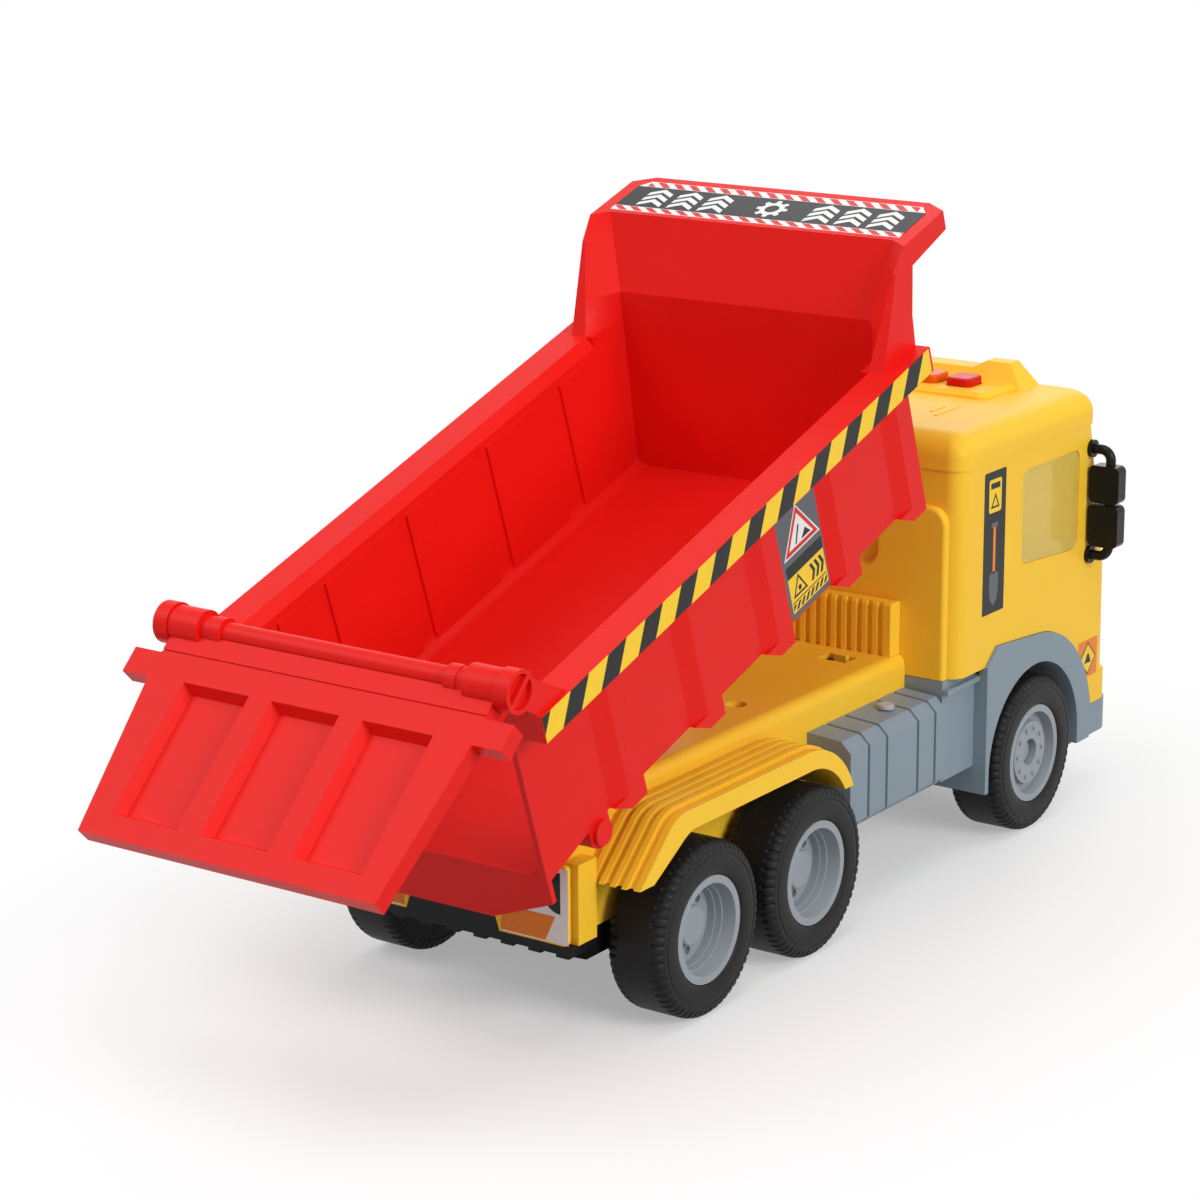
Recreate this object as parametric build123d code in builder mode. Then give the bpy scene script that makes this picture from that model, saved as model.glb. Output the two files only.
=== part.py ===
from build123d import *
import os
from math import asin, atan2, cos, degrees, radians, sin, sqrt

# Toy dump truck with a tipping bucket, in millimetres.
# +X is the way it drives, +Y its left side, +Z up.
# The origin is on the ground, under the middle axle.

os.makedirs("parts", exist_ok=True)

# ---- walls, fits and clearances -------------------------------------------------
WALL = 2.0                  # moulded shells
SHAFT_FIT = 0.06            # radial running clearance of axles and hinge pins
SEAT_FIT = 0.05             # radial clearance of pieces pressed on or into each other
SIDE_GAP = 0.3              # axial gap beside turning pieces
PANEL_GAP = 0.2             # seam between two body panels
BUTTON_GAP = 0.35           # around each push button

# ---- wheels and axles -----------------------------------------------------------
TYRE_R = 30.0
TYRE_WIDTH = 21.8
TYRE_SHOULDER_R = 4.0
REAR_TYRE_FACE = 66.5       # outer tyre faces, from the centre line
FRONT_TYRE_FACE = 64.0
AXLE_R = 1.5
REAR_AXLE_X = -66.0
MIDDLE_AXLE_X = 0.0
FRONT_AXLE_X = 160.5
REAR_RIM_R = 18.3
FRONT_RIM_R = 18.6
RIM_LIP = 2.6               # width of the bright ring round a rim
RIM_INSET = 0.8             # the rim sits back from the tyre's face
DISH_DEPTH = 10.6           # of a rear rim
DISH_STEPS = (              # down the rear rim's barrel: inward from the lip, depth
    (0.7, 5.5), (1.3, 5.5), (1.6, 7.8), (2.1, 7.8), (2.3, DISH_DEPTH),
)
WEB_THICK = 2.5
HUB_R = 7.4
HUB_DEPTH = 9.0             # hub face behind the tyre's face
HUB_BOSS_R = 4.6
CAP_R = 6.9
CAP_THICK = 2.2
CAP_EDGE_R = 1.0
REAR_RIM_HOLES = 3
RIM_HOLE_R = 1.4
RIM_HOLE_CIRCLE_R = 10.0
FRONT_DISC_DEPTH = 2.6
FRONT_GROOVE_DEPTH = 5.0
FRONT_DISC_R = 12.0
FRONT_CENTRE_R = 5.2
FRONT_CAP_R = 4.6
LUG_COUNT = 10
LUG_R = 0.8
LUG_HEIGHT = 0.7
LUG_CIRCLE_R = 9.4

# ---- chassis --------------------------------------------------------------------
DECK_TOP = 80.3
DECK_HALF = 42.0
DECK_EDGE_R = 4.0
DECK_FRONT_X = 98.8
DECK_REAR_X = -112.0
REAR_FACE_X = -116.0
SPLIT_Z = 36.0              # deck above, under plate below
UNDER_Z = 26.0              # flat underside
TAIL_RISE = 7.0             # the under plate's tail slopes up by this
TAIL_X = -118.0
TAIL_SLOPE = 16.0
TAIL_FOOT_COUNT = 9
TAIL_FOOT_PITCH = 11.0
TAIL_FOOT_LENGTH = 3.0
TAIL_FOOT_WIDTH = 5.0
TAIL_FOOT_HEIGHT = 1.0
TAIL_LIP_TOP = 41.5         # lip behind the foot of the rear panel
TAIL_LIP_HALF = 17.0
TAIL_LIP_SPREAD = 2.6       # wider by this at its foot
NOSE_HALF = 39.0            # chassis under the cab, between the front wheels
NOSE_TOP = 62.0
POST_HALF = 48.0            # rear posts and pivot ears
POST_TOP = 63.0
POST_REAR_X = -114.5
POST_LENGTH = 10.0
PANEL_THICK = 2.0           # rear lamp panel
BEARING_LENGTH = 12.0
BEARING_WIDTH = 7.0

# ---- fenders over the rear wheels -------------------------------------------------
FENDER_HALF = 65.0
FENDER_TOP = 74.0
FENDER_UNDER = 67.0
FENDER_END_Z = 54.6
FENDER_ARC_X = -4.2
FENDER_ARC_R = 32.0
FENDER_INNER_ARC_X = -1.8
FENDER_INNER_ARC_R = 25.0
FENDER_REAR_X = -104.8
FENDER_KINK_X = -84.0
FENDER_BEND_R = 14.0
FENDER_LIP = 2.6
FENDER_SINK = 1.5           # skin between the lip and the deck lies lower
FENDER_RIB_RISE = 0.8
FENDER_RIB_WIDTH = 2.0
FENDER_RIB_FIRST = 46.0
FENDER_RIB_PITCH = 4.4
FENDER_RIB_COUNT = 4

# ---- heat shield, slots and screw wells on the deck ---------------------------------
SHIELD_LENGTH = 7.0
SHIELD_HALF = 39.6
SHIELD_HEIGHT = 20.0
SHIELD_RIB_PITCH = 4.4
SHIELD_RIB_WIDTH = 2.0
SHIELD_RIB_DEPTH = 1.4
SHIELD_RIB_COUNT = 17
SLOT_X = 77.0
SLOT_Y = 24.0
SLOT_LENGTH = 8.0
SLOT_WIDTH = 12.0
CATCH_THICK = 2.2
CATCH_WIDTH = 5.0
CATCH_RISE = 0.6
WELL_X = 12.0
WELL_Y = 25.0
WELL_R = 3.8
WELL_DEPTH = 6.0

# ---- side tanks -----------------------------------------------------------------
TANK_REAR_X = 31.5
TANK_FRONT_X = 97.5
TANK_HALF = 60.0
TANK_BOTTOM = 34.0
TANK_SHOULDER_Z = 63.0
TANK_TOP = 68.0
TANK_SHOULDER_IN = 4.0
TANK_BOTTOM_IN = 3.0
TANK_GROOVES = (43.8, 56.2, 78.0, 90.3)
TANK_GROOVE_WIDTH = 1.6
TANK_GROOVE_DEPTH = 0.9
TANK_CAP_X = 72.0
TANK_CAP_Y = 50.0
TANK_CAP_R = 3.0
TANK_CAP_RISE = 1.6

# ---- cab ------------------------------------------------------------------------
CAB_REAR_X = 102.0
CAB_HALF = 62.0
CAB_BOTTOM = 72.5
CAB_SEAM_Z = 150.0
CAB_TOP_FRONT_X = 207.5
CAB_WAIST_FRONT_X = 221.0
CAB_WAIST_Z = 92.5
CAB_NOSE_X = 221.6
CAB_STEP_Z = 50.5
CAB_STEP_X = 224.5
CAB_REAR_CORNER_R = 6.0
CAB_FRONT_CORNER_R = 8.0
FRAME_PROUD = 3.0           # raised panel on the cab's rear wall
FRAME_HALF = 57.7
FRAME_TOP = 136.6
FRAME_CORNER_R = 7.0
FRAME_TAPER = 30.0
POCKET_HALF = 30.0          # recess in that panel
POCKET_BOTTOM = 105.0
GLASS_THICK = 1.4
GLASS_INSET = 0.6
GLASS_FLANGE = 1.5
WINDOW_REAR_X = 148.8
WINDOW_FRONT_X = 193.2
WINDOW_TOP = 141.7
WINDOW_BOTTOM_REAR = 106.0
WINDOW_BOTTOM_FRONT = 102.6
WINDOW_CORNER_R = 3.5
SCREEN_HALF = 50.0
SCREEN_BOTTOM = 99.0
SCREEN_TOP = 145.0
SCREEN_CORNER_R = 6.0
GRILLE_HALF = 34.0
GRILLE_BOTTOM = 56.0
GRILLE_TOP = 88.0
GRILLE_THICK = 1.6
GRILLE_SLATS = 5
SLAT_HEIGHT = 2.2

# ---- roof -----------------------------------------------------------------------
ROOF_TOP = 163.0
ROOF_WALL_TOP = 154.5       # the upright rim ends here and the rounding starts
ROOF_ROUNDING = 9.0
ROOF_STEPS = 6
ROOF_SKIN = 2.4
ROOF_PROUD = 0.6            # the roof stands out from the cab's walls all round
ROOF_PLUG = 3.0             # rim that locates the roof inside the cab
PLATFORM_REAR_X = 162.0
PLATFORM_FRONT_X = 190.0
PLATFORM_HALF = 38.0
PLATFORM_TOP = 165.3
FAIRING_REAR_X = 184.0
FAIRING_FRONT_X = 199.0
FAIRING_TAPER = 4.0
FAIRING_MIDDLE_Z = 169.5
FAIRING_PEAK_Z = 172.4
FAIRING_MIDDLE_HALF = 19.0
FAIRING_PEAK_IN = 24.0
FAIRING_PEAK_OUT = 34.0
FAIRING_HALF = 41.0
BUTTON_COUNT = 4
BUTTON_PITCH = 14.4
BUTTON_X = 175.0
BUTTON_LENGTH = 12.0
BUTTON_WIDTH = 10.4
BUTTON_RISE = 3.2
BUTTON_TRAVEL = 1.5
BUTTON_CORNER_R = 2.5
BUTTON_FLANGE = 1.2
BUTTON_FLANGE_THICK = 1.5
DASH_HEIGHT = 0.4
DASH_WIDTH = 1.0
DASHES = ((139.0, 31.0, 10.0), (138.0, 35.7, 18.5))

# ---- cab skirt with wheel arches and bumper -----------------------------------------
SKIRT_REAR_X = 122.8
SKIRT_FLOOR_Z = 67.2
SKIRT_FLOOR_THICK = 2.0
SKIRT_BOTTOM = 23.5
ARCH_HALF = 63.2
ARCH_PLATE = 3.4
ARCH_OPEN_R = 35.2
ARCH_BAND_R = 46.3
ARCH_TOP_REAR_X = 130.8
ARCH_TOP_REAR_Z = 79.0
ARCH_TOP_FRONT_X = 166.0
ARCH_INNER = 40.0           # the liner reaches in to here
BUMPER_FRONT_X = 228.8
BUMPER_TOP = 37.0
BUMPER_BOTTOM = 24.5
BUMPER_CORNER_R = 12.0
BUMPER_HALF = 62.0
BUMPER_LENGTH = 16.0
LAMP_WIDTH = 16.0
LAMP_HEIGHT = 9.0
LAMP_Y = 44.0
LAMP_Z = 43.8
LAMP_THICK = 2.0

# ---- mirrors --------------------------------------------------------------------
MIRROR_X = 202.5
MIRROR_ARM_R = 1.9
MIRROR_ARM_Y = 70.5
MIRROR_TOP_Z = 140.3
MIRROR_LOW_Z = 98.7
MIRROR_FOOT_R = 3.4
MIRROR_FOOT_THICK = 1.6
MIRROR_BEND_R = 4.0
MIRROR_HEAD_DEPTH = 6.0
MIRROR_HEAD_WIDTH = 12.6
MIRROR_HEAD_Y = 69.2
MIRROR_UPPER_Z = 127.2
MIRROR_UPPER_HEIGHT = 14.6
MIRROR_LOWER_Z = 111.0
MIRROR_LOWER_HEIGHT = 16.4
MIRROR_HEAD_R = 2.4

# ---- bucket, in its own tilted frame: u forward, v up, from the pivot ------------------
BUCKET_TILT = 18.25         # raised from level, degrees
PIVOT_X = -116.15
PIVOT_Z = 76.7
TUB_REAR_U = -29.5
TUB_FRONT_U = 209.0
TUB_HALF = 58.0             # outer wall faces
FLOOR_V = 6.5               # top of the floor
FLOOR_SLOPE_U = 1.5         # behind this the floor falls
FLOOR_REAR_V = 2.2
FLOOR_BEND_R = 5.0
RAIL_TOP_V = 64.2
RAIL_HEIGHT = 9.3
RAIL_HALF = 70.8
RAIL_BEVEL = 3.0
RAIL_BEVEL_HEIGHT = 4.0
RIB_PROUD = 2.0
RIB_BOTTOM_V = -0.8
RIB_STARTS = (6.9, 54.3, 99.5, 144.5, 190.2)
RIB_WEDGE = 8.2
RIB_FACE = 9.0
PANEL_RAISE = 1.0           # raised fields on the inner walls
PANEL_STARTS = (-1.5, 24.0, 69.5, 117.0, 162.5)
PANEL_ENDS = (15.8, 61.7, 108.8, 152.3, 194.0)
PANEL_TOP_V = 57.5
SKIRT_DROP_V = -18.2        # the plate below the floor's rear edge
SKIRT_SIDE_V = -7.5
SKIRT_BOTTOM_HALF = 32.2
HEAD_FOOT_U = 197.5         # headboard, inner face
HEAD_CREASE_U = 203.3
HEAD_CREASE_V = 75.1
HEAD_CREASE_HALF = 52.1
HEAD_TOP_U = 215.3
HEAD_TOP_HALF = 58.7
HEAD_THICK = 2.4
CHEEK_HALF = 65.0
CHEEK_FOOT_U = 187.0
CHEEK_BEND_U = 204.1
CHEEK_BEND_V = 93.5
CHEEK_TOP_U = 211.5
VISOR_V = 100.5
VISOR_FRONT_U = 244.1
VISOR_FRONT_HALF = 57.0
VISOR_CORNER_U = 239.5
VISOR_DEPTH = 7.0
PIN_R = 2.0
PIVOT_BOSS_R = 5.5
PIVOT_EAR_R = 3.8
PIVOT_HEAD_R = 4.3
PIVOT_HEAD_THICK = 1.6
PIVOT_EAR_INNER = 42.0

# ---- tailgate, hung from a bar above the rear rail ends -------------------------------
GATE_SWING = 46.0           # of the plate from the vertical, degrees
HINGE_U = -34.0
HINGE_V = 76.0
DRUM_R = 6.9
DRUM_INNER = 64.1
DRUM_OUTER = 69.4
DRUM_RECESS_R = 5.5
DRUM_RECESS = 1.8
DRUM_BRIDGE = 1.8
BARREL_R = 6.2
BARREL_INNER = 52.0
RING_R = 4.5
RING_INNER = 48.5
COLLAR_R = 4.8
COLLAR_INNER = 44.0
BAR_R = 3.6
GATE_OUTER = 1.9            # outer face outside the hinge line
GATE_THICK = 6.1
GATE_TOP = 3.5              # distances down the plate from the hinge
GATE_BOTTOM = 76.0
GATE_BOTTOM_HALF = 58.0
GATE_TOP_HALF = 63.4
GATE_LUG_TOP = 11.7
GATE_LUG_BOTTOM = 20.8
GATE_LUG_HALF = 74.2
GATE_LINE = 10.8
GATE_LINE_WIDTH = 0.7
FIELD_TOP = 20.3
FIELD_BOTTOM = 68.1
FIELD_WIDTH = 26.8
FIELD_PITCH = 35.6
FIELD_DEPTH = 4.3
FIELD_TAPER = 25.0          # degrees
LINE_DEPTH = 0.5
HINGE_PIN_DEPTH = 6.0       # of each pin inside the gate's barrel
HINGE_PIN_SEAT = 2.6        # and inside the bucket's drum
WEB_FRONT_U = -13.0
WEB_TOP_U = -30.0
WEB_TOP_V = 79.0
LUG_CLEAR = 0.6

# ---- inside: batteries, sound and screws ---------------------------------------------
CELL_R = 5.25
CELL_LENGTH = 44.5
CELL_COUNT = 3
CELL_PITCH = 11.4
CELL_X = 62.0
CELL_CLEAR = 0.6
CASE_WALL = 1.6
DOOR_GAP = 0.3
SPEAKER_X = -33.0
SPEAKER_R = 14.0
SPEAKER_THICK = 7.0
SPEAKER_HOLE_R = 1.1
BOARD_LENGTH = 26.0
BOARD_THICK = 1.6
SWITCH_HEIGHT = 1.5
SWITCH_SIZE = 6.0
SCREW_R = 1.4
SCREW_HEAD_R = 2.8
SCREW_HEAD = 1.8
SCREW_LENGTH = 12.0
SCREW_BOSS_R = 3.6
SCREW_PLACES = ((-92.0, 26.0), (-92.0, -26.0), (20.0, 30.0), (20.0, -30.0), (118.0, 26.0), (118.0, -26.0))

# ---- derived places and planes ----------------------------------------------------
TILT = radians(BUCKET_TILT)
PIVOT = Vector(PIVOT_X, 0, PIVOT_Z)
TUB_AHEAD = Vector(cos(TILT), 0, sin(TILT))
TUB_UP = Vector(-sin(TILT), 0, cos(TILT))
HINGE = PIVOT + TUB_AHEAD * HINGE_U + TUB_UP * HINGE_V
GATE_OUT = Vector(-cos(radians(GATE_SWING)), 0, sin(radians(GATE_SWING)))
NOSE_FRONT_X = FRONT_AXLE_X + ARCH_OPEN_R + WALL - PANEL_GAP
CAB_LINE = atan2(CAB_WAIST_FRONT_X - CAB_TOP_FRONT_X, CAB_SEAM_Z - CAB_WAIST_Z)

tub_side = Plane(origin=PIVOT, x_dir=TUB_AHEAD, z_dir=(0, -1, 0))      # (u, v)
tub_cross = Plane(origin=PIVOT, x_dir=(0, 1, 0), z_dir=TUB_AHEAD)      # (y, v)
tub_plan = Plane(origin=PIVOT, x_dir=TUB_AHEAD, z_dir=TUB_UP)          # (u, y)
gate_face = Plane(origin=HINGE, x_dir=(0, 1, 0), z_dir=GATE_OUT)       # (y, down the plate)
SIDES = (("left", 1), ("right", -1))


def save(piece, node):
    """Label a finished piece and write it as its own file."""
    piece.part.label = node
    export_step(piece.part, f"parts/{node}.step")


def across(x, z, y, side=1):
    """A plane at (x, z) whose normal points outward along Y, at the distance y from the middle."""
    return Plane(origin=(x, side * y, z), x_dir=(-side, 0, 0), z_dir=(0, side, 0))


def tub_across(u, v, y, side=1):
    """The same for a place in the bucket's tilted frame."""
    spot = PIVOT + TUB_AHEAD * u + TUB_UP * v
    return across(spot.X, spot.Z, y, side)


# ---- wheels and axles -----------------------------------------------------------

def turned(points, axle_x, face, side):
    """Outline of (radius, depth behind the tyre's face), ready to turn about the axle."""
    with BuildSketch(Plane(origin=(axle_x, 0, TYRE_R), x_dir=(1, 0, 0), z_dir=(0, 0, side))) as outline:
        with BuildLine():
            Polyline([(r, face - depth) for r, depth in points], close=True)
        make_face()
    return outline


def rear_rim_outline(hub_end):
    """Deep stepped dish with a hub in its middle."""
    lip = REAR_RIM_R - RIM_LIP
    back = TYRE_WIDTH - RIM_INSET
    return [
        (AXLE_R + SEAT_FIT, HUB_DEPTH), (HUB_R, HUB_DEPTH), (HUB_R, DISH_DEPTH),
        *[(lip - inward, depth) for inward, depth in reversed(DISH_STEPS)], (lip, RIM_INSET),
        (REAR_RIM_R, RIM_INSET), (REAR_RIM_R, back), (REAR_RIM_R - WALL, back),
        (REAR_RIM_R - WALL, DISH_DEPTH + WEB_THICK), (HUB_BOSS_R, DISH_DEPTH + WEB_THICK),
        (HUB_BOSS_R, hub_end), (AXLE_R + SEAT_FIT, hub_end),
    ]


def front_rim_outline(hub_end):
    """Flat disc inside a groove, with a sunk centre."""
    lip = FRONT_RIM_R - RIM_LIP
    back = TYRE_WIDTH - RIM_INSET
    return [
        (AXLE_R + SEAT_FIT, FRONT_GROOVE_DEPTH + CAP_THICK), (FRONT_CENTRE_R, FRONT_GROOVE_DEPTH + CAP_THICK),
        (FRONT_CENTRE_R, FRONT_DISC_DEPTH), (FRONT_DISC_R, FRONT_DISC_DEPTH),
        (FRONT_DISC_R + 0.5, FRONT_GROOVE_DEPTH), (lip - 0.5, FRONT_GROOVE_DEPTH), (lip, RIM_INSET),
        (FRONT_RIM_R, RIM_INSET), (FRONT_RIM_R, back), (FRONT_RIM_R - WALL, back),
        (FRONT_RIM_R - WALL, FRONT_GROOVE_DEPTH + WEB_THICK + CAP_THICK),
        (HUB_BOSS_R, FRONT_GROOVE_DEPTH + WEB_THICK + CAP_THICK),
        (HUB_BOSS_R, hub_end), (AXLE_R + SEAT_FIT, hub_end),
    ]


AXLES = (
    ("rear", REAR_AXLE_X, REAR_TYRE_FACE, REAR_RIM_R, DECK_HALF),
    ("middle", MIDDLE_AXLE_X, REAR_TYRE_FACE, REAR_RIM_R, DECK_HALF),
    ("front", FRONT_AXLE_X, FRONT_TYRE_FACE, FRONT_RIM_R, NOSE_HALF),
)

for axle_name, axle_x, tyre_face, rim_r, chassis_half in AXLES:
    is_front = axle_name == "front"
    hub_end = tyre_face - chassis_half - SIDE_GAP
    cap_depth = FRONT_GROOVE_DEPTH + CAP_THICK if is_front else HUB_DEPTH
    rod_half = tyre_face - cap_depth - SIDE_GAP
    for side_name, side in SIDES:
        wheel_axis = Axis((axle_x, 0, TYRE_R), (0, 1, 0))

        with BuildPart() as tyre:
            tyre_points = [
                (rim_r + SEAT_FIT, 0), (TYRE_R, 0), (TYRE_R, TYRE_WIDTH), (rim_r + SEAT_FIT, TYRE_WIDTH),
            ]
            add(turned(tyre_points, axle_x, tyre_face, side).sketch)
            revolve(axis=wheel_axis)
            shoulders = tyre.edges().filter_by(GeomType.CIRCLE).sort_by(SortBy.RADIUS)[-2:]
            fillet(shoulders, TYRE_SHOULDER_R)
        save(tyre, f"tyre_{axle_name}_{side_name}")

        with BuildPart() as rim:
            rim_points = front_rim_outline(hub_end) if is_front else rear_rim_outline(hub_end)
            add(turned(rim_points, axle_x, tyre_face, side).sketch)
            revolve(axis=wheel_axis)
            if is_front:
                with BuildSketch(across(axle_x, TYRE_R, tyre_face - FRONT_DISC_DEPTH, side)):
                    with PolarLocations(LUG_CIRCLE_R, LUG_COUNT):
                        Circle(LUG_R)
                extrude(amount=LUG_HEIGHT)
            else:
                with BuildSketch(across(axle_x, TYRE_R, tyre_face - DISH_DEPTH, side)):
                    with PolarLocations(RIM_HOLE_CIRCLE_R, REAR_RIM_HOLES, start_angle=40):
                        Circle(RIM_HOLE_R)
                extrude(amount=-WEB_THICK, mode=Mode.SUBTRACT)
        save(rim, f"rim_{axle_name}_{side_name}")

        with BuildPart() as hub_cap:
            with BuildSketch(across(axle_x, TYRE_R, tyre_face - cap_depth, side)):
                Circle(FRONT_CAP_R if is_front else CAP_R)
            extrude(amount=CAP_THICK)
            fillet(hub_cap.edges().filter_by(GeomType.CIRCLE).sort_by(Axis.Y)[-1 if side > 0 else 0], CAP_EDGE_R)
        save(hub_cap, f"hub_cap_{axle_name}_{side_name}")

    with BuildPart() as axle:
        with BuildSketch(across(axle_x, TYRE_R, 0)):
            Circle(AXLE_R)
        extrude(amount=rod_half, both=True)
    save(axle, f"axle_{axle_name}")


# ---- chassis deck -----------------------------------------------------------------

def fender_outline(rise, width_from, width_to, side):
    """Side view of a fender whose outer surface lies `rise` above the lip's, as a plate in Y."""
    outer_r = FENDER_ARC_R + rise
    inner_top = FENDER_UNDER
    drop = FENDER_END_Z - (FENDER_TOP - FENDER_ARC_R)
    outer_turn = degrees(asin(drop / outer_r))
    inner_turn = degrees(asin(drop / FENDER_INNER_ARC_R))
    arc_z = FENDER_TOP - FENDER_ARC_R
    with BuildSketch(Plane.XZ.offset(-side * width_from)) as outline:
        with BuildLine():
            outer = CenterArc((FENDER_ARC_X, arc_z), outer_r, outer_turn, 90 - outer_turn)
            back = FilletPolyline(
                (FENDER_ARC_X, FENDER_TOP + rise), (FENDER_KINK_X, FENDER_TOP + rise),
                (FENDER_REAR_X - rise, FENDER_END_Z), radius=FENDER_BEND_R,
            )
            below = FilletPolyline(
                (FENDER_REAR_X + 8.0, FENDER_END_Z), (FENDER_KINK_X + 8.0, inner_top),
                (FENDER_INNER_ARC_X, inner_top), radius=FENDER_BEND_R,
            )
            inner = CenterArc((FENDER_INNER_ARC_X, arc_z), FENDER_INNER_ARC_R, 90, inner_turn - 90)
            Line(back @ 1, below @ 0)
            Line(inner @ 1, outer @ 0)
        make_face()
    extrude(outline.sketch, amount=-side * (width_to - width_from))


def ear_outline(reach):
    """Pivot ear on top of a rear post: a drop shape round the pivot."""
    with BuildSketch(Plane.XZ.offset(-reach)) as outline:
        with BuildLine():
            Polyline([
                (POST_REAR_X + POST_LENGTH, POST_TOP - WALL), (POST_REAR_X + POST_LENGTH, POST_TOP + WALL),
                (PIVOT_X + PIVOT_EAR_R, PIVOT_Z), (PIVOT_X - PIVOT_EAR_R, PIVOT_Z),
                (POST_REAR_X, POST_TOP - WALL),
            ], close=True)
        make_face()
        with Locations((PIVOT_X, PIVOT_Z)):
            Circle(PIVOT_EAR_R)
    return outline


with BuildPart() as chassis_deck:
    # the tall middle box, open below
    with BuildSketch(Plane.XZ) as spine:
        with BuildLine():
            Polyline([
                (REAR_FACE_X, SPLIT_Z), (REAR_FACE_X, POST_TOP), (DECK_REAR_X, POST_TOP + 8.0),
                (DECK_REAR_X, DECK_TOP), (DECK_FRONT_X, DECK_TOP), (DECK_FRONT_X, SPLIT_Z),
            ], close=True)
        make_face()
    extrude(amount=DECK_HALF, both=True)
    fillet(chassis_deck.edges().filter_by(Axis.X).group_by(Axis.Z)[-1], DECK_EDGE_R)
    with BuildSketch(Plane.XZ):
        with BuildLine():
            Polyline([
                (REAR_FACE_X + WALL, SPLIT_Z), (REAR_FACE_X + WALL, POST_TOP - WALL),
                (DECK_REAR_X + WALL, POST_TOP + 6.0), (DECK_REAR_X + WALL, DECK_TOP - WALL),
                (DECK_FRONT_X - WALL, DECK_TOP - WALL), (DECK_FRONT_X - WALL, SPLIT_Z),
            ], close=True)
        make_face()
    extrude(amount=DECK_HALF - WALL, both=True, mode=Mode.SUBTRACT)
    # the low nose under the cab
    with BuildSketch(Plane.XY.offset(SPLIT_Z)):
        with Locations(((DECK_FRONT_X + NOSE_FRONT_X) / 2, 0)):
            Rectangle(NOSE_FRONT_X - DECK_FRONT_X, 2 * NOSE_HALF)
    extrude(amount=NOSE_TOP - SPLIT_Z)
    with BuildSketch(Plane.XY.offset(SPLIT_Z)):
        with Locations(((DECK_FRONT_X + NOSE_FRONT_X) / 2, 0)):
            Rectangle(NOSE_FRONT_X - DECK_FRONT_X - 2 * WALL, 2 * (NOSE_HALF - WALL))
    extrude(amount=NOSE_TOP - SPLIT_Z - WALL, mode=Mode.SUBTRACT)
    for side_name, side in SIDES:
        # fender: sunk skin, raised lip and ribs
        fender_outline(-FENDER_SINK, DECK_HALF - WALL, FENDER_HALF - FENDER_LIP, side)
        fender_outline(0, FENDER_HALF - FENDER_LIP, FENDER_HALF, side)
        for rib in range(FENDER_RIB_COUNT):
            rib_y = FENDER_RIB_FIRST + rib * FENDER_RIB_PITCH
            fender_outline(FENDER_RIB_RISE, rib_y - FENDER_RIB_WIDTH / 2, rib_y + FENDER_RIB_WIDTH / 2, side)
        # rear post and its pivot ear
        with BuildSketch(Plane.XY.offset(SPLIT_Z)):
            with Locations((POST_REAR_X + POST_LENGTH / 2, side * (DECK_HALF - WALL + POST_HALF) / 2)):
                Rectangle(POST_LENGTH, POST_HALF - DECK_HALF + WALL)
        extrude(amount=POST_TOP - SPLIT_Z)
        extrude(ear_outline(side * PIVOT_EAR_INNER).sketch, amount=side * (POST_HALF - PIVOT_EAR_INNER))
        with BuildSketch(across(PIVOT_X, PIVOT_Z, PIVOT_EAR_INNER, side)):
            Circle(PIN_R + SHAFT_FIT)
        extrude(amount=POST_HALF - PIVOT_EAR_INNER, mode=Mode.SUBTRACT)
        # slot with its catch, and the screw well
        with BuildSketch(Plane.XY.offset(DECK_TOP)):
            with Locations((SLOT_X + SLOT_LENGTH / 2, side * SLOT_Y)):
                Rectangle(SLOT_LENGTH, SLOT_WIDTH)
        extrude(amount=-WALL, mode=Mode.SUBTRACT)
        with BuildSketch(Plane.XY.offset(DECK_TOP - WALL)):
            with Locations((SLOT_X + SLOT_LENGTH - CATCH_THICK / 2, side * SLOT_Y)):
                Rectangle(CATCH_THICK, CATCH_WIDTH)
        extrude(amount=WALL + CATCH_RISE)
        with BuildSketch(Plane.XY.offset(DECK_TOP - WELL_DEPTH - WALL)):
            with Locations((WELL_X, side * WELL_Y)):
                Circle(WELL_R + WALL)
        extrude(amount=WELL_DEPTH)
        with Locations((WELL_X, side * WELL_Y, DECK_TOP)):
            CounterBoreHole(SCREW_R + SHAFT_FIT, WELL_R, WELL_DEPTH)
    # heat shield with upright ribs in front of the cab wall
    with BuildSketch(Plane.XY.offset(DECK_TOP)):
        with Locations((DECK_FRONT_X - SHIELD_LENGTH / 2, 0)):
            Rectangle(SHIELD_LENGTH, 2 * SHIELD_HALF)
    extrude(amount=SHIELD_HEIGHT)
    fillet(chassis_deck.edges().filter_by(Axis.Y).group_by(Axis.Z)[-1], SHIELD_RIB_DEPTH)
    with BuildSketch(Plane.XY.offset(DECK_TOP)):
        with Locations((DECK_FRONT_X - SHIELD_LENGTH, 0)):
            with GridLocations(0, SHIELD_RIB_PITCH, 1, SHIELD_RIB_COUNT):
                Rectangle(2 * SHIELD_RIB_DEPTH, SHIELD_RIB_PITCH - SHIELD_RIB_WIDTH)
    extrude(amount=SHIELD_HEIGHT, mode=Mode.SUBTRACT)
    with BuildSketch(Plane.XY.offset(DECK_TOP - WALL)):
        with Locations((DECK_FRONT_X - SHIELD_LENGTH / 2 + SHIELD_RIB_DEPTH / 2, 0)):
            Rectangle(SHIELD_LENGTH - 2 * WALL - SHIELD_RIB_DEPTH, 2 * (SHIELD_HALF - WALL))
    extrude(amount=SHIELD_HEIGHT, mode=Mode.SUBTRACT)
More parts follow.
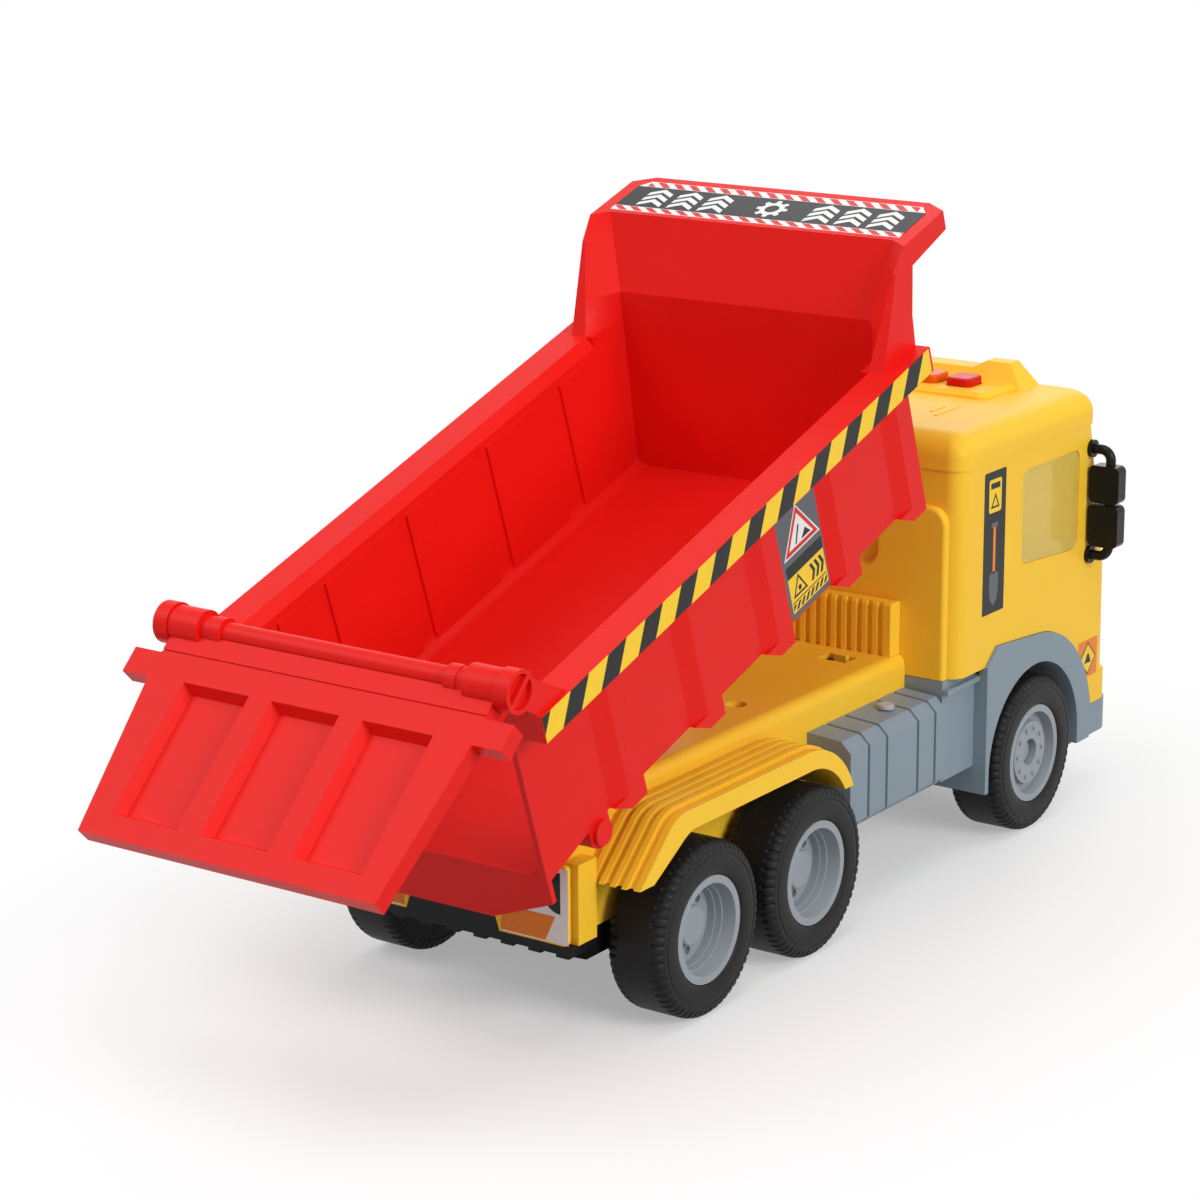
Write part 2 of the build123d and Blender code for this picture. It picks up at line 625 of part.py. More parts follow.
    # screw bosses that the under plate's screws go into
    for boss_x, boss_y in SCREW_PLACES:
        with BuildSketch(Plane.XY.offset(SPLIT_Z)):
            with Locations((boss_x, boss_y)):
                Circle(SCREW_BOSS_R)
        extrude(amount=(DECK_TOP if boss_x < DECK_FRONT_X else NOSE_TOP) - WALL / 2 - SPLIT_Z)
        with BuildSketch(Plane.XY.offset(SPLIT_Z)):
            with Locations((boss_x, boss_y)):
                Circle(SCREW_R)
        extrude(amount=SCREW_LENGTH, mode=Mode.SUBTRACT)
save(chassis_deck, "chassis_deck")



def tail_lip_outline(gap):
    """The lip's outline on the tail, grown by gap."""
    rise = TAIL_LIP_TOP + gap - SPLIT_Z + WALL
    with BuildSketch() as outline:
        with Locations((0, SPLIT_Z - WALL)):
            Trapezoid(
                2 * (TAIL_LIP_HALF + TAIL_LIP_SPREAD + gap), rise, degrees(atan2(rise, TAIL_LIP_SPREAD)),
                align=(Align.CENTER, Align.MIN))
    return outline.sketch


with BuildPart() as rear_panel:
    with BuildSketch(Plane.YZ.offset(REAR_FACE_X)):
        with Locations((0, (SPLIT_Z + POST_TOP) / 2)):
            RectangleRounded(2 * POST_HALF - 2 * WALL, POST_TOP - SPLIT_Z - PANEL_GAP, 1.5)
    extrude(amount=-PANEL_THICK)
    with BuildSketch(Plane.YZ.offset(TAIL_X)):
        add(tail_lip_outline(PANEL_GAP))
    extrude(amount=REAR_FACE_X - TAIL_X, mode=Mode.SUBTRACT)
save(rear_panel, "rear_panel")


# ---- under plate, battery door, batteries, speaker and screws -----------------------

cell_span = CELL_COUNT * CELL_PITCH
hatch_length = CELL_LENGTH + 2 * CELL_CLEAR
hatch_width = cell_span
DOOR_THICK = WALL

with BuildPart() as under_plate:
    with BuildSketch(Plane.XZ) as tray_side:
        with BuildLine():
            Polyline([
                (TAIL_X, SPLIT_Z), (TAIL_X, UNDER_Z + TAIL_RISE), (TAIL_X + TAIL_SLOPE, UNDER_Z),
                (DECK_FRONT_X, UNDER_Z), (DECK_FRONT_X, SPLIT_Z),
            ], close=True)
        make_face()
    extrude(amount=DECK_HALF, both=True)
    with BuildSketch(Plane.XY.offset(UNDER_Z)):
        with Locations(((DECK_FRONT_X + NOSE_FRONT_X) / 2, 0)):
            Rectangle(NOSE_FRONT_X - DECK_FRONT_X, 2 * NOSE_HALF)
    extrude(amount=SPLIT_Z - UNDER_Z)
    # tail bar as wide as the posts, with small feet along its lower edge
    with BuildSketch(Plane.XY.offset(UNDER_Z + TAIL_RISE)):
        with Locations(((TAIL_X + POST_REAR_X + POST_LENGTH) / 2, 0)):
            Rectangle(POST_REAR_X + POST_LENGTH - TAIL_X, 2 * POST_HALF)
    extrude(amount=SPLIT_Z - UNDER_Z - TAIL_RISE)
    with BuildSketch(Plane.XY.offset(UNDER_Z + TAIL_RISE)):
        with Locations((TAIL_X + TAIL_FOOT_LENGTH / 2, 0)):
            with GridLocations(0, TAIL_FOOT_PITCH, 1, TAIL_FOOT_COUNT):
                Rectangle(TAIL_FOOT_LENGTH, TAIL_FOOT_WIDTH)
    extrude(amount=-TAIL_FOOT_HEIGHT)
    with BuildSketch(Plane.YZ.offset(TAIL_X)):
        add(tail_lip_outline(0))
    extrude(amount=REAR_FACE_X - PANEL_GAP - TAIL_X)
    # hollow
    with BuildSketch(Plane.XY.offset(UNDER_Z + WALL)):
        with Locations(((TAIL_X + TAIL_SLOPE + DECK_FRONT_X) / 2, 0)):
            Rectangle(DECK_FRONT_X - TAIL_X - TAIL_SLOPE, 2 * (DECK_HALF - WALL))
        with Locations(((DECK_FRONT_X + NOSE_FRONT_X) / 2 - WALL, 0)):
            Rectangle(NOSE_FRONT_X - DECK_FRONT_X, 2 * (NOSE_HALF - WALL))
    extrude(amount=SPLIT_Z - UNDER_Z - WALL, mode=Mode.SUBTRACT)
    # bearing blocks bored for the axles
    for axle_name, axle_x, tyre_face, rim_r, chassis_half in AXLES:
        with BuildSketch(Plane.XY.offset(UNDER_Z)):
            with Locations((axle_x, chassis_half - BEARING_WIDTH / 2), (axle_x, BEARING_WIDTH / 2 - chassis_half)):
                Rectangle(BEARING_LENGTH, BEARING_WIDTH)
        extrude(amount=SPLIT_Z - UNDER_Z)
        with BuildSketch(Plane.XZ):
            with Locations((axle_x, TYRE_R)):
                Circle(AXLE_R + SHAFT_FIT)
        extrude(amount=chassis_half, both=True, mode=Mode.SUBTRACT)
    # battery hatch with a ledge for its door
    with BuildSketch(Plane.XY.offset(UNDER_Z)):
        with Locations((CELL_X, 0)):
            Rectangle(hatch_length, hatch_width)
    extrude(amount=WALL, mode=Mode.SUBTRACT)
    # sound holes below the speaker
    with BuildSketch(Plane.XY.offset(UNDER_Z)):
        for ring in (1, 2):
            with Locations((SPEAKER_X, 0)):
                with PolarLocations(ring * SPEAKER_R / 3, 6 * ring):
                    Circle(SPEAKER_HOLE_R)
    extrude(amount=WALL, mode=Mode.SUBTRACT)
    # screw pillars, counterbored from below
    for boss_x, boss_y in SCREW_PLACES:
        with BuildSketch(Plane.XY.offset(UNDER_Z)):
            with Locations((boss_x, boss_y)):
                Circle(SCREW_BOSS_R + SCREW_R)
        extrude(amount=SPLIT_Z - UNDER_Z)
        with BuildSketch(Plane.XY.offset(UNDER_Z)):
            with Locations((boss_x, boss_y)):
                Circle(SCREW_R + SHAFT_FIT)
        extrude(amount=SPLIT_Z - UNDER_Z, mode=Mode.SUBTRACT)
        with BuildSketch(Plane.XY.offset(UNDER_Z)):
            with Locations((boss_x, boss_y)):
                Circle(SCREW_HEAD_R + SHAFT_FIT)
        extrude(amount=SCREW_HEAD + WALL, mode=Mode.SUBTRACT)
save(under_plate, "under_plate")

with BuildPart() as chassis_screws:
    for boss_x, boss_y in SCREW_PLACES:
        with BuildSketch(Plane.XY.offset(UNDER_Z + WALL)):
            with Locations((boss_x, boss_y)):
                Circle(SCREW_HEAD_R)
        extrude(amount=SCREW_HEAD)
        with BuildSketch(Plane.XY.offset(UNDER_Z + WALL + SCREW_HEAD)):
            with Locations((boss_x, boss_y)):
                Circle(SCREW_R - SEAT_FIT)
        extrude(amount=SPLIT_Z - UNDER_Z - WALL - SCREW_HEAD + SCREW_LENGTH - 1.0)
save(chassis_screws, "chassis_screws")

with BuildPart() as battery_door:
    with BuildSketch(Plane.XY.offset(UNDER_Z)):
        with Locations((CELL_X, 0)):
            Rectangle(hatch_length - 2 * DOOR_GAP, hatch_width - 2 * DOOR_GAP)
    extrude(amount=DOOR_THICK)
    with BuildSketch(Plane.XY.offset(UNDER_Z)):
        with Locations((CELL_X - hatch_length / 2 + 8.0, 0)):
            with GridLocations(2.2, 0, 4, 1):
                Rectangle(1.0, hatch_width / 2)
    extrude(amount=0.6, mode=Mode.SUBTRACT)
save(battery_door, "battery_door")

with BuildPart() as battery_case:
    case_height = 2 * CELL_R + CELL_CLEAR + CASE_WALL
    with BuildSketch(Plane.XY.offset(UNDER_Z + WALL)):
        with Locations((CELL_X, 0)):
            Rectangle(hatch_length + 2 * CASE_WALL, hatch_width + 2 * CASE_WALL)
    extrude(amount=case_height)
    with BuildSketch(Plane.XY.offset(UNDER_Z + WALL)):
        with Locations((CELL_X, 0)):
            Rectangle(hatch_length, hatch_width)
    extrude(amount=case_height - CASE_WALL, mode=Mode.SUBTRACT)
save(battery_case, "battery_case")

for cell in range(CELL_COUNT):
    cell_y = (cell - (CELL_COUNT - 1) / 2) * CELL_PITCH
    with BuildPart() as battery:
        with BuildSketch(Plane.YZ.offset(CELL_X - CELL_LENGTH / 2)):
            with Locations((cell_y, UNDER_Z + DOOR_THICK + CELL_R + CELL_CLEAR / 2)):
                Circle(CELL_R)
        extrude(amount=CELL_LENGTH - 1.0)
        with BuildSketch(Plane.YZ.offset(CELL_X + CELL_LENGTH / 2 - 1.0)):
            with Locations((cell_y, UNDER_Z + DOOR_THICK + CELL_R + CELL_CLEAR / 2)):
                Circle(CELL_R / 3)
        extrude(amount=1.0)
    save(battery, f"battery_{cell + 1}")

with BuildPart() as speaker:
    with BuildSketch(Plane.XY.offset(UNDER_Z + WALL)):
        with Locations((SPEAKER_X, 0)):
            Circle(SPEAKER_R)
    extrude(amount=SPEAKER_THICK / 2)
    with BuildSketch(Plane.XY.offset(UNDER_Z + WALL + SPEAKER_THICK / 2)):
        with Locations((SPEAKER_X, 0)):
            Circle(SPEAKER_R * 0.55)
    extrude(amount=SPEAKER_THICK / 2)
    with BuildSketch(Plane.XY.offset(UNDER_Z + WALL)):
        with Locations((SPEAKER_X, 0)):
            Circle(SPEAKER_R - 1.5)
    extrude(amount=1.2, mode=Mode.SUBTRACT)
save(speaker, "speaker")


# ---- side tanks --------------------------------------------------------------------

def tank_section(inset):
    """Cross-section of a tank in (y, z), drawn for the left side, moved in by `inset`."""
    with BuildSketch() as section:
        with BuildLine():
            Polyline([
                (DECK_HALF, TANK_BOTTOM + inset), (TANK_HALF - TANK_BOTTOM_IN, TANK_BOTTOM + inset),
                (TANK_HALF - inset, TANK_BOTTOM + TANK_BOTTOM_IN), (TANK_HALF - inset, TANK_SHOULDER_Z),
                (TANK_HALF - TANK_SHOULDER_IN, TANK_TOP - 1.0 - inset), (DECK_HALF, TANK_TOP - inset),
            ], close=True)
        make_face()
    return section.sketch


for side_name, side in SIDES:
    with BuildPart() as tank:
        with BuildSketch(Plane.YZ.offset(TANK_REAR_X)):
            add(tank_section(0))
        extrude(amount=TANK_FRONT_X - TANK_REAR_X)
        for groove_x in TANK_GROOVES:
            with BuildSketch(Plane.YZ.offset(groove_x - TANK_GROOVE_WIDTH / 2)):
                add(tank_section(0))
                add(tank_section(TANK_GROOVE_DEPTH), mode=Mode.SUBTRACT)
            extrude(amount=TANK_GROOVE_WIDTH, mode=Mode.SUBTRACT)
        with BuildSketch(Plane.YZ.offset(TANK_REAR_X + WALL)):
            add(tank_section(WALL + TANK_GROOVE_DEPTH))
        extrude(amount=TANK_FRONT_X - TANK_REAR_X - 2 * WALL, mode=Mode.SUBTRACT)
        if side < 0:
            mirror(about=Plane.XZ, mode=Mode.REPLACE)
    save(tank, f"side_tank_{side_name}")

    with BuildPart() as tank_cap:
        with BuildSketch(Plane.XY.offset(TANK_TOP)):
            with Locations((TANK_CAP_X, side * TANK_CAP_Y)):
                Circle(TANK_CAP_R)
        extrude(amount=TANK_CAP_RISE)
        fillet(tank_cap.edges().group_by(Axis.Z)[-1], 0.5)
    save(tank_cap, f"tank_cap_{side_name}")


# ---- cab skirt: floor, wheel arches and bumper, in one moulding -------------------------

def arch_outline(gap=0.0):
    """Side view of the grey arch: mudguard edge, sloping top and the band round the wheel."""
    band_r = ARCH_BAND_R + gap
    front_turn = degrees(asin((BUMPER_TOP - TYRE_R) / band_r))
    top_turn = degrees(atan2(sqrt(band_r ** 2 - (ARCH_TOP_FRONT_X - FRONT_AXLE_X) ** 2),
                             ARCH_TOP_FRONT_X - FRONT_AXLE_X))
    with BuildSketch() as outline:
        with BuildLine():
            band = CenterArc((FRONT_AXLE_X, TYRE_R), band_r, front_turn, top_turn - front_turn)
            Polyline([
                band @ 1, (ARCH_TOP_REAR_X - gap, ARCH_TOP_REAR_Z + gap),
                (SKIRT_REAR_X - gap, CAB_BOTTOM + gap), (SKIRT_REAR_X - gap, SKIRT_BOTTOM),
                (FRONT_AXLE_X, SKIRT_BOTTOM), (FRONT_AXLE_X + ARCH_OPEN_R, BUMPER_BOTTOM),
                (FRONT_AXLE_X + band_r - 1.0, BUMPER_BOTTOM), band @ 0,
            ])
        make_face()
    return outline.sketch


with BuildPart() as cab_skirt:
    # the floor of the cab
    floor_front_x = CAB_NOSE_X - WALL - CAB_FRONT_CORNER_R
    with BuildSketch(Plane.XY.offset(SKIRT_FLOOR_Z)):
        with Locations(((DECK_FRONT_X + PANEL_GAP + floor_front_x) / 2, 0)):
            Rectangle(floor_front_x - DECK_FRONT_X - PANEL_GAP, 2 * (CAB_HALF - WALL))
    extrude(amount=SKIRT_FLOOR_THICK)
    # rear block between the tanks and the arches
    with BuildSketch(Plane.XY.offset(NOSE_TOP)):
        with Locations(((DECK_FRONT_X + PANEL_GAP + SKIRT_REAR_X) / 2, 0)):
            Rectangle(SKIRT_REAR_X - DECK_FRONT_X - PANEL_GAP, 2 * FRAME_HALF)
    extrude(amount=CAB_BOTTOM - NOSE_TOP - PANEL_GAP)
    for side_name, side in SIDES:
        with BuildSketch(Plane.XY.offset(TANK_BOTTOM)):
            with Locations(((DECK_FRONT_X + PANEL_GAP + SKIRT_REAR_X) / 2, side * (NOSE_HALF + FRAME_HALF) / 2)):
                Rectangle(SKIRT_REAR_X - DECK_FRONT_X - PANEL_GAP, FRAME_HALF - NOSE_HALF)
        extrude(amount=NOSE_TOP - TANK_BOTTOM)
    # arches: a plate on each side, with a liner round the wheel behind it
    for side_name, side in SIDES:
        plate = Plane(origin=(0, side * (ARCH_HALF - ARCH_PLATE), 0), x_dir=(1, 0, 0), z_dir=(0, -1, 0))
        with BuildSketch(plate):
            add(arch_outline())
        extrude(amount=-side * ARCH_PLATE)
        with BuildSketch(Plane.XZ.offset(-side * ARCH_INNER)):
            with BuildLine():
                Polyline([
                    (SKIRT_REAR_X, SKIRT_BOTTOM), (SKIRT_REAR_X, SKIRT_FLOOR_Z + SKIRT_FLOOR_THICK),
                    (FRONT_AXLE_X + ARCH_OPEN_R + WALL, SKIRT_FLOOR_Z + SKIRT_FLOOR_THICK),
                    (FRONT_AXLE_X + ARCH_OPEN_R + WALL, SKIRT_BOTTOM),
                ], close=True)
            make_face()
        extrude(amount=-side * (ARCH_HALF - ARCH_PLATE - ARCH_INNER))
        with BuildSketch(Plane.XZ.offset(-side * ARCH_INNER)):
            with Locations((FRONT_AXLE_X, TYRE_R)):
                Circle(ARCH_OPEN_R)
            with Locations((FRONT_AXLE_X, TYRE_R - ARCH_OPEN_R / 2)):
                Rectangle(2 * ARCH_OPEN_R, ARCH_OPEN_R)
        extrude(amount=-side * (ARCH_HALF - ARCH_INNER), mode=Mode.SUBTRACT)
    # bumper
    with BuildSketch(Plane.XY.offset(BUMPER_BOTTOM)) as bumper_plan:
        with Locations((BUMPER_FRONT_X - BUMPER_LENGTH, 0)):
            Rectangle(2 * BUMPER_LENGTH, 2 * BUMPER_HALF)
        fillet(bumper_plan.vertices().group_by(Axis.X)[-1], BUMPER_CORNER_R)
        with Locations((FRONT_AXLE_X, 0)):
            Rectangle(2 * (ARCH_OPEN_R + WALL), 2 * BUMPER_HALF, mode=Mode.SUBTRACT)
    extrude(amount=BUMPER_TOP - BUMPER_BOTTOM)
    with BuildSketch(Plane.XY.offset(BUMPER_BOTTOM)):
        with Locations(((BUMPER_FRONT_X + FRONT_AXLE_X + ARCH_OPEN_R + WALL) / 2, 0)):
            Rectangle(
                BUMPER_FRONT_X - FRONT_AXLE_X - ARCH_OPEN_R - 3 * WALL,
                2 * (BUMPER_HALF - BUMPER_CORNER_R))
    extrude(amount=BUMPER_TOP - BUMPER_BOTTOM - WALL, mode=Mode.SUBTRACT)
    # cross wall from the bumper up to the floor
    with BuildSketch(Plane.XY.offset(BUMPER_TOP - WALL)):
        with Locations((FRONT_AXLE_X + ARCH_OPEN_R + 1.5 * WALL, 0)):
            Rectangle(WALL, 2 * (CAB_HALF - 2 * WALL))
    extrude(amount=SKIRT_FLOOR_Z - BUMPER_TOP + 2 * WALL)
save(cab_skirt, "cab_skirt")


# ---- cab body -----------------------------------------------------------------------

def cab_plan(z, front_x, inset=0.0, rear_x=CAB_REAR_X):
    """Plan of the cab at the height z, with rounded corners, moved in by `inset`."""
    with BuildSketch(Plane.XY.offset(z)) as plan:
        with Locations(((rear_x + front_x) / 2, 0)):
            Rectangle(front_x - rear_x - 2 * inset, 2 * (CAB_HALF - inset))
        fillet(plan.vertices().group_by(Axis.X)[0], CAB_REAR_CORNER_R - inset / 2)
        fillet(plan.vertices().group_by(Axis.X)[-1], CAB_FRONT_CORNER_R - inset / 2)
    return plan.sketch


def window_outline(grow=0.0):
    """Side window in (x, z)."""
    with BuildSketch() as outline:
        with BuildLine():
            Polyline([
                (WINDOW_REAR_X, WINDOW_BOTTOM_REAR), (WINDOW_REAR_X, WINDOW_TOP),
                (WINDOW_FRONT_X, WINDOW_TOP), (WINDOW_FRONT_X, WINDOW_BOTTOM_FRONT),
            ], close=True)
        make_face()
        offset(amount=grow, kind=Kind.INTERSECTION)
        fillet(outline.vertices(), WINDOW_CORNER_R + grow)
    return outline.sketch


def screen_outline(grow=0.0):
    """Windscreen in the plane of the cab's front."""
    with BuildSketch() as outline:
        RectangleRounded(
            2 * (SCREEN_HALF + grow), (SCREEN_TOP - SCREEN_BOTTOM) / cos(CAB_LINE) + 2 * grow,
            SCREEN_CORNER_R + grow,
        )
    return outline.sketch


def side_view(depth, side):
    """The (x, z) plane at the distance `depth` from the middle; extruding by -side goes outward."""
    return Plane.XZ.offset(-side * depth)


cab_levels = (
    (BUMPER_TOP + PANEL_GAP, CAB_STEP_X), (CAB_STEP_Z - 1.5, CAB_STEP_X), (CAB_STEP_Z, CAB_NOSE_X),
    (CAB_WAIST_Z, CAB_WAIST_FRONT_X), (CAB_SEAM_Z, CAB_TOP_FRONT_X),
)
screen_z = (SCREEN_TOP + SCREEN_BOTTOM) / 2
screen_x = CAB_TOP_FRONT_X + (CAB_SEAM_Z - screen_z) * (CAB_WAIST_FRONT_X - CAB_TOP_FRONT_X) / (
    CAB_SEAM_Z - CAB_WAIST_Z)
screen_plane = Plane(
    origin=(screen_x, 0, screen_z), x_dir=(0, 1, 0), z_dir=(cos(CAB_LINE), 0, sin(CAB_LINE)))
cab_wall_front = WALL * cos(CAB_LINE)

with BuildPart() as rear_frame:
    # raised panel with a recess, on the cab's rear wall
    with BuildSketch(Plane.YZ.offset(CAB_REAR_X)) as frame_outline:
        with Locations((0, (CAB_BOTTOM + FRAME_TOP) / 2)):
            Rectangle(2 * FRAME_HALF, FRAME_TOP - CAB_BOTTOM)
        fillet(frame_outline.vertices().group_by(Axis.Y)[-1], FRAME_CORNER_R)
    extrude(amount=-FRAME_PROUD)
    fillet(rear_frame.faces().sort_by(Axis.X)[0].edges().sort_by(Axis.Z)[1:], FRAME_PROUD / 2)
    with BuildSketch(Plane.YZ.offset(CAB_REAR_X - FRAME_PROUD)):
        with Locations((0, (POCKET_BOTTOM + FRAME_TOP) / 2)):
            RectangleRounded(2 * POCKET_HALF, FRAME_TOP - POCKET_BOTTOM - 4 * FRAME_PROUD, FRAME_CORNER_R)
    extrude(amount=FRAME_PROUD, taper=FRAME_TAPER, mode=Mode.SUBTRACT)

with BuildPart() as cab_body:
    loft([cab_plan(z, front_x) for z, front_x in cab_levels], ruled=True)
    loft([
        cab_plan(z + (1.0 if z == CAB_SEAM_Z else -1.0 if front_x == CAB_STEP_X else 0.0), front_x, WALL)
        for z, front_x in cab_levels
    ], ruled=True, mode=Mode.SUBTRACT)
    # open below the floor as far as the front axle; the arches are cut from the sides
    with BuildSketch(Plane.XY.offset(BUMPER_TOP)):
        with Locations(((CAB_REAR_X - 1 + FRONT_AXLE_X) / 2, 0)):
            Rectangle(FRONT_AXLE_X - CAB_REAR_X + 1, 2 * CAB_HALF)
    extrude(amount=CAB_BOTTOM - BUMPER_TOP, mode=Mode.SUBTRACT)
    add(rear_frame.part)
    for side_name, side in SIDES:
        with BuildSketch(side_view(CAB_HALF - 2 * WALL, side)):
            add(arch_outline(PANEL_GAP))
        extrude(amount=-side * 3 * WALL, mode=Mode.SUBTRACT)
        with BuildSketch(side_view(CAB_HALF - 2 * WALL, side)):
            add(window_outline())
        extrude(amount=-side * 3 * WALL, mode=Mode.SUBTRACT)
    with BuildSketch(screen_plane):
        add(screen_outline())
    extrude(amount=2 * WALL, both=True, mode=Mode.SUBTRACT)
save(cab_body, "cab_body")

for side_name, side in SIDES:
    with BuildPart() as side_window:
        with BuildSketch(side_view(CAB_HALF - WALL, side)):
            add(window_outline(-PANEL_GAP / 2))
        extrude(amount=-side * (WALL - GLASS_INSET))
        with BuildSketch(side_view(CAB_HALF - WALL - GLASS_THICK, side)):
            add(window_outline(GLASS_FLANGE))
        extrude(amount=-side * GLASS_THICK)
    save(side_window, f"side_window_{side_name}")

with BuildPart() as windscreen:
    with BuildSketch(screen_plane.offset(-cab_wall_front)):
        add(screen_outline(-PANEL_GAP / 2))
    extrude(amount=cab_wall_front - GLASS_INSET)
    with BuildSketch(screen_plane.offset(-cab_wall_front - GLASS_THICK)):
        add(screen_outline(GLASS_FLANGE))
    extrude(amount=GLASS_THICK)
save(windscreen, "windscreen")

with BuildPart() as grille:
    with BuildSketch(Plane.YZ.offset(CAB_NOSE_X)):
        with Locations((0, (GRILLE_BOTTOM + GRILLE_TOP) / 2)):
            RectangleRounded(2 * GRILLE_HALF, GRILLE_TOP - GRILLE_BOTTOM, 3.0)
    extrude(amount=GRILLE_THICK)
    with BuildSketch(Plane.YZ.offset(CAB_NOSE_X + GRILLE_THICK)):
        with Locations((0, (GRILLE_BOTTOM + GRILLE_TOP) / 2)):
            with GridLocations(0, (GRILLE_TOP - GRILLE_BOTTOM - 2 * SLAT_HEIGHT) / GRILLE_SLATS, 1, GRILLE_SLATS):
                Rectangle(2 * (GRILLE_HALF - 3.0), SLAT_HEIGHT)
    extrude(amount=GRILLE_THICK)
save(grille, "grille")

for side_name, side in SIDES:
    with BuildPart() as headlamp:
        with BuildSketch(Plane.YZ.offset(CAB_STEP_X)):
            with Locations((side * LAMP_Y, LAMP_Z)):
                RectangleRounded(LAMP_WIDTH, LAMP_HEIGHT, 2.0)
        extrude(amount=LAMP_THICK)
        fillet(headlamp.faces().sort_by(Axis.X)[-1].edges(), 0.8)
    save(headlamp, f"headlamp_{side_name}")

    with BuildPart() as mirror_arm:
        with BuildLine() as arm_path:
            FilletPolyline(
                (MIRROR_X, side * CAB_HALF, MIRROR_TOP_Z), (MIRROR_X, side * MIRROR_ARM_Y, MIRROR_TOP_Z),
                (MIRROR_X, side * MIRROR_ARM_Y, MIRROR_LOW_Z), (MIRROR_X, side * CAB_HALF, MIRROR_LOW_Z),
                radius=MIRROR_BEND_R,
            )
        with BuildSketch(across(MIRROR_X, MIRROR_TOP_Z, CAB_HALF, side)):
            Circle(MIRROR_ARM_R)
        sweep()
        for foot_z in (MIRROR_TOP_Z, MIRROR_LOW_Z):
            with BuildSketch(across(MIRROR_X, foot_z, CAB_HALF, side)):
                Circle(MIRROR_FOOT_R)
            extrude(amount=MIRROR_FOOT_THICK)
        for head_z, head_height in ((MIRROR_UPPER_Z, MIRROR_UPPER_HEIGHT), (MIRROR_LOWER_Z, MIRROR_LOWER_HEIGHT)):
            with BuildSketch(Plane.YZ.offset(MIRROR_X - MIRROR_HEAD_DEPTH / 2)):
                with Locations((side * MIRROR_HEAD_Y, head_z)):
                    RectangleRounded(MIRROR_HEAD_WIDTH, head_height, MIRROR_HEAD_R)
            extrude(amount=MIRROR_HEAD_DEPTH)
    save(mirror_arm, f"mirror_{side_name}")


# ---- roof, buttons and circuit board ---------------------------------------------------

def roof_level(step):
    """Plan of the roof's rounding at one of its levels, from the rim (0) to the top."""
    turn = radians(90 * step / ROOF_STEPS)
    inset = ROOF_ROUNDING * (1 - cos(turn))
    return cab_plan(ROOF_WALL_TOP + (ROOF_TOP - ROOF_WALL_TOP) * sin(turn), CAB_TOP_FRONT_X, inset - ROOF_PROUD)


button_ys = [(number - (BUTTON_COUNT - 1) / 2) * BUTTON_PITCH for number in range(BUTTON_COUNT)]
ceiling_z = PLATFORM_TOP - WALL
flange_top = ceiling_z - SIDE_GAP
flange_bottom = flange_top - BUTTON_FLANGE_THICK
board_top = flange_bottom - BUTTON_TRAVEL - SIDE_GAP - SWITCH_HEIGHT
board_width = BUTTON_COUNT * BUTTON_PITCH + 8.0

with BuildPart() as fairing:
    with BuildSketch(Plane.YZ.offset(FAIRING_REAR_X)):
        with BuildLine():
            half_section = Polyline([
                (0, ROOF_TOP - WALL), (FAIRING_HALF, ROOF_TOP - WALL), (FAIRING_HALF, ROOF_TOP),
                (FAIRING_PEAK_OUT, FAIRING_PEAK_Z), (FAIRING_PEAK_IN, FAIRING_PEAK_Z),
                (FAIRING_MIDDLE_HALF, FAIRING_MIDDLE_Z), (0, FAIRING_MIDDLE_Z),
            ])
            mirror(half_section, about=Plane.YZ)
        make_face()
    extrude(amount=FAIRING_FRONT_X - FAIRING_REAR_X)
    with BuildSketch(Plane.XZ):
        with BuildLine():
            Polyline([
                (FAIRING_REAR_X, ROOF_TOP - WALL), (FAIRING_REAR_X, ROOF_TOP),
                (FAIRING_REAR_X + FAIRING_TAPER, FAIRING_PEAK_Z),
                (FAIRING_FRONT_X - FAIRING_TAPER, FAIRING_PEAK_Z), (FAIRING_FRONT_X, ROOF_TOP),
                (FAIRING_FRONT_X, ROOF_TOP - WALL),
            ], close=True)
        make_face()
    extrude(amount=FAIRING_HALF, both=True, mode=Mode.INTERSECT)

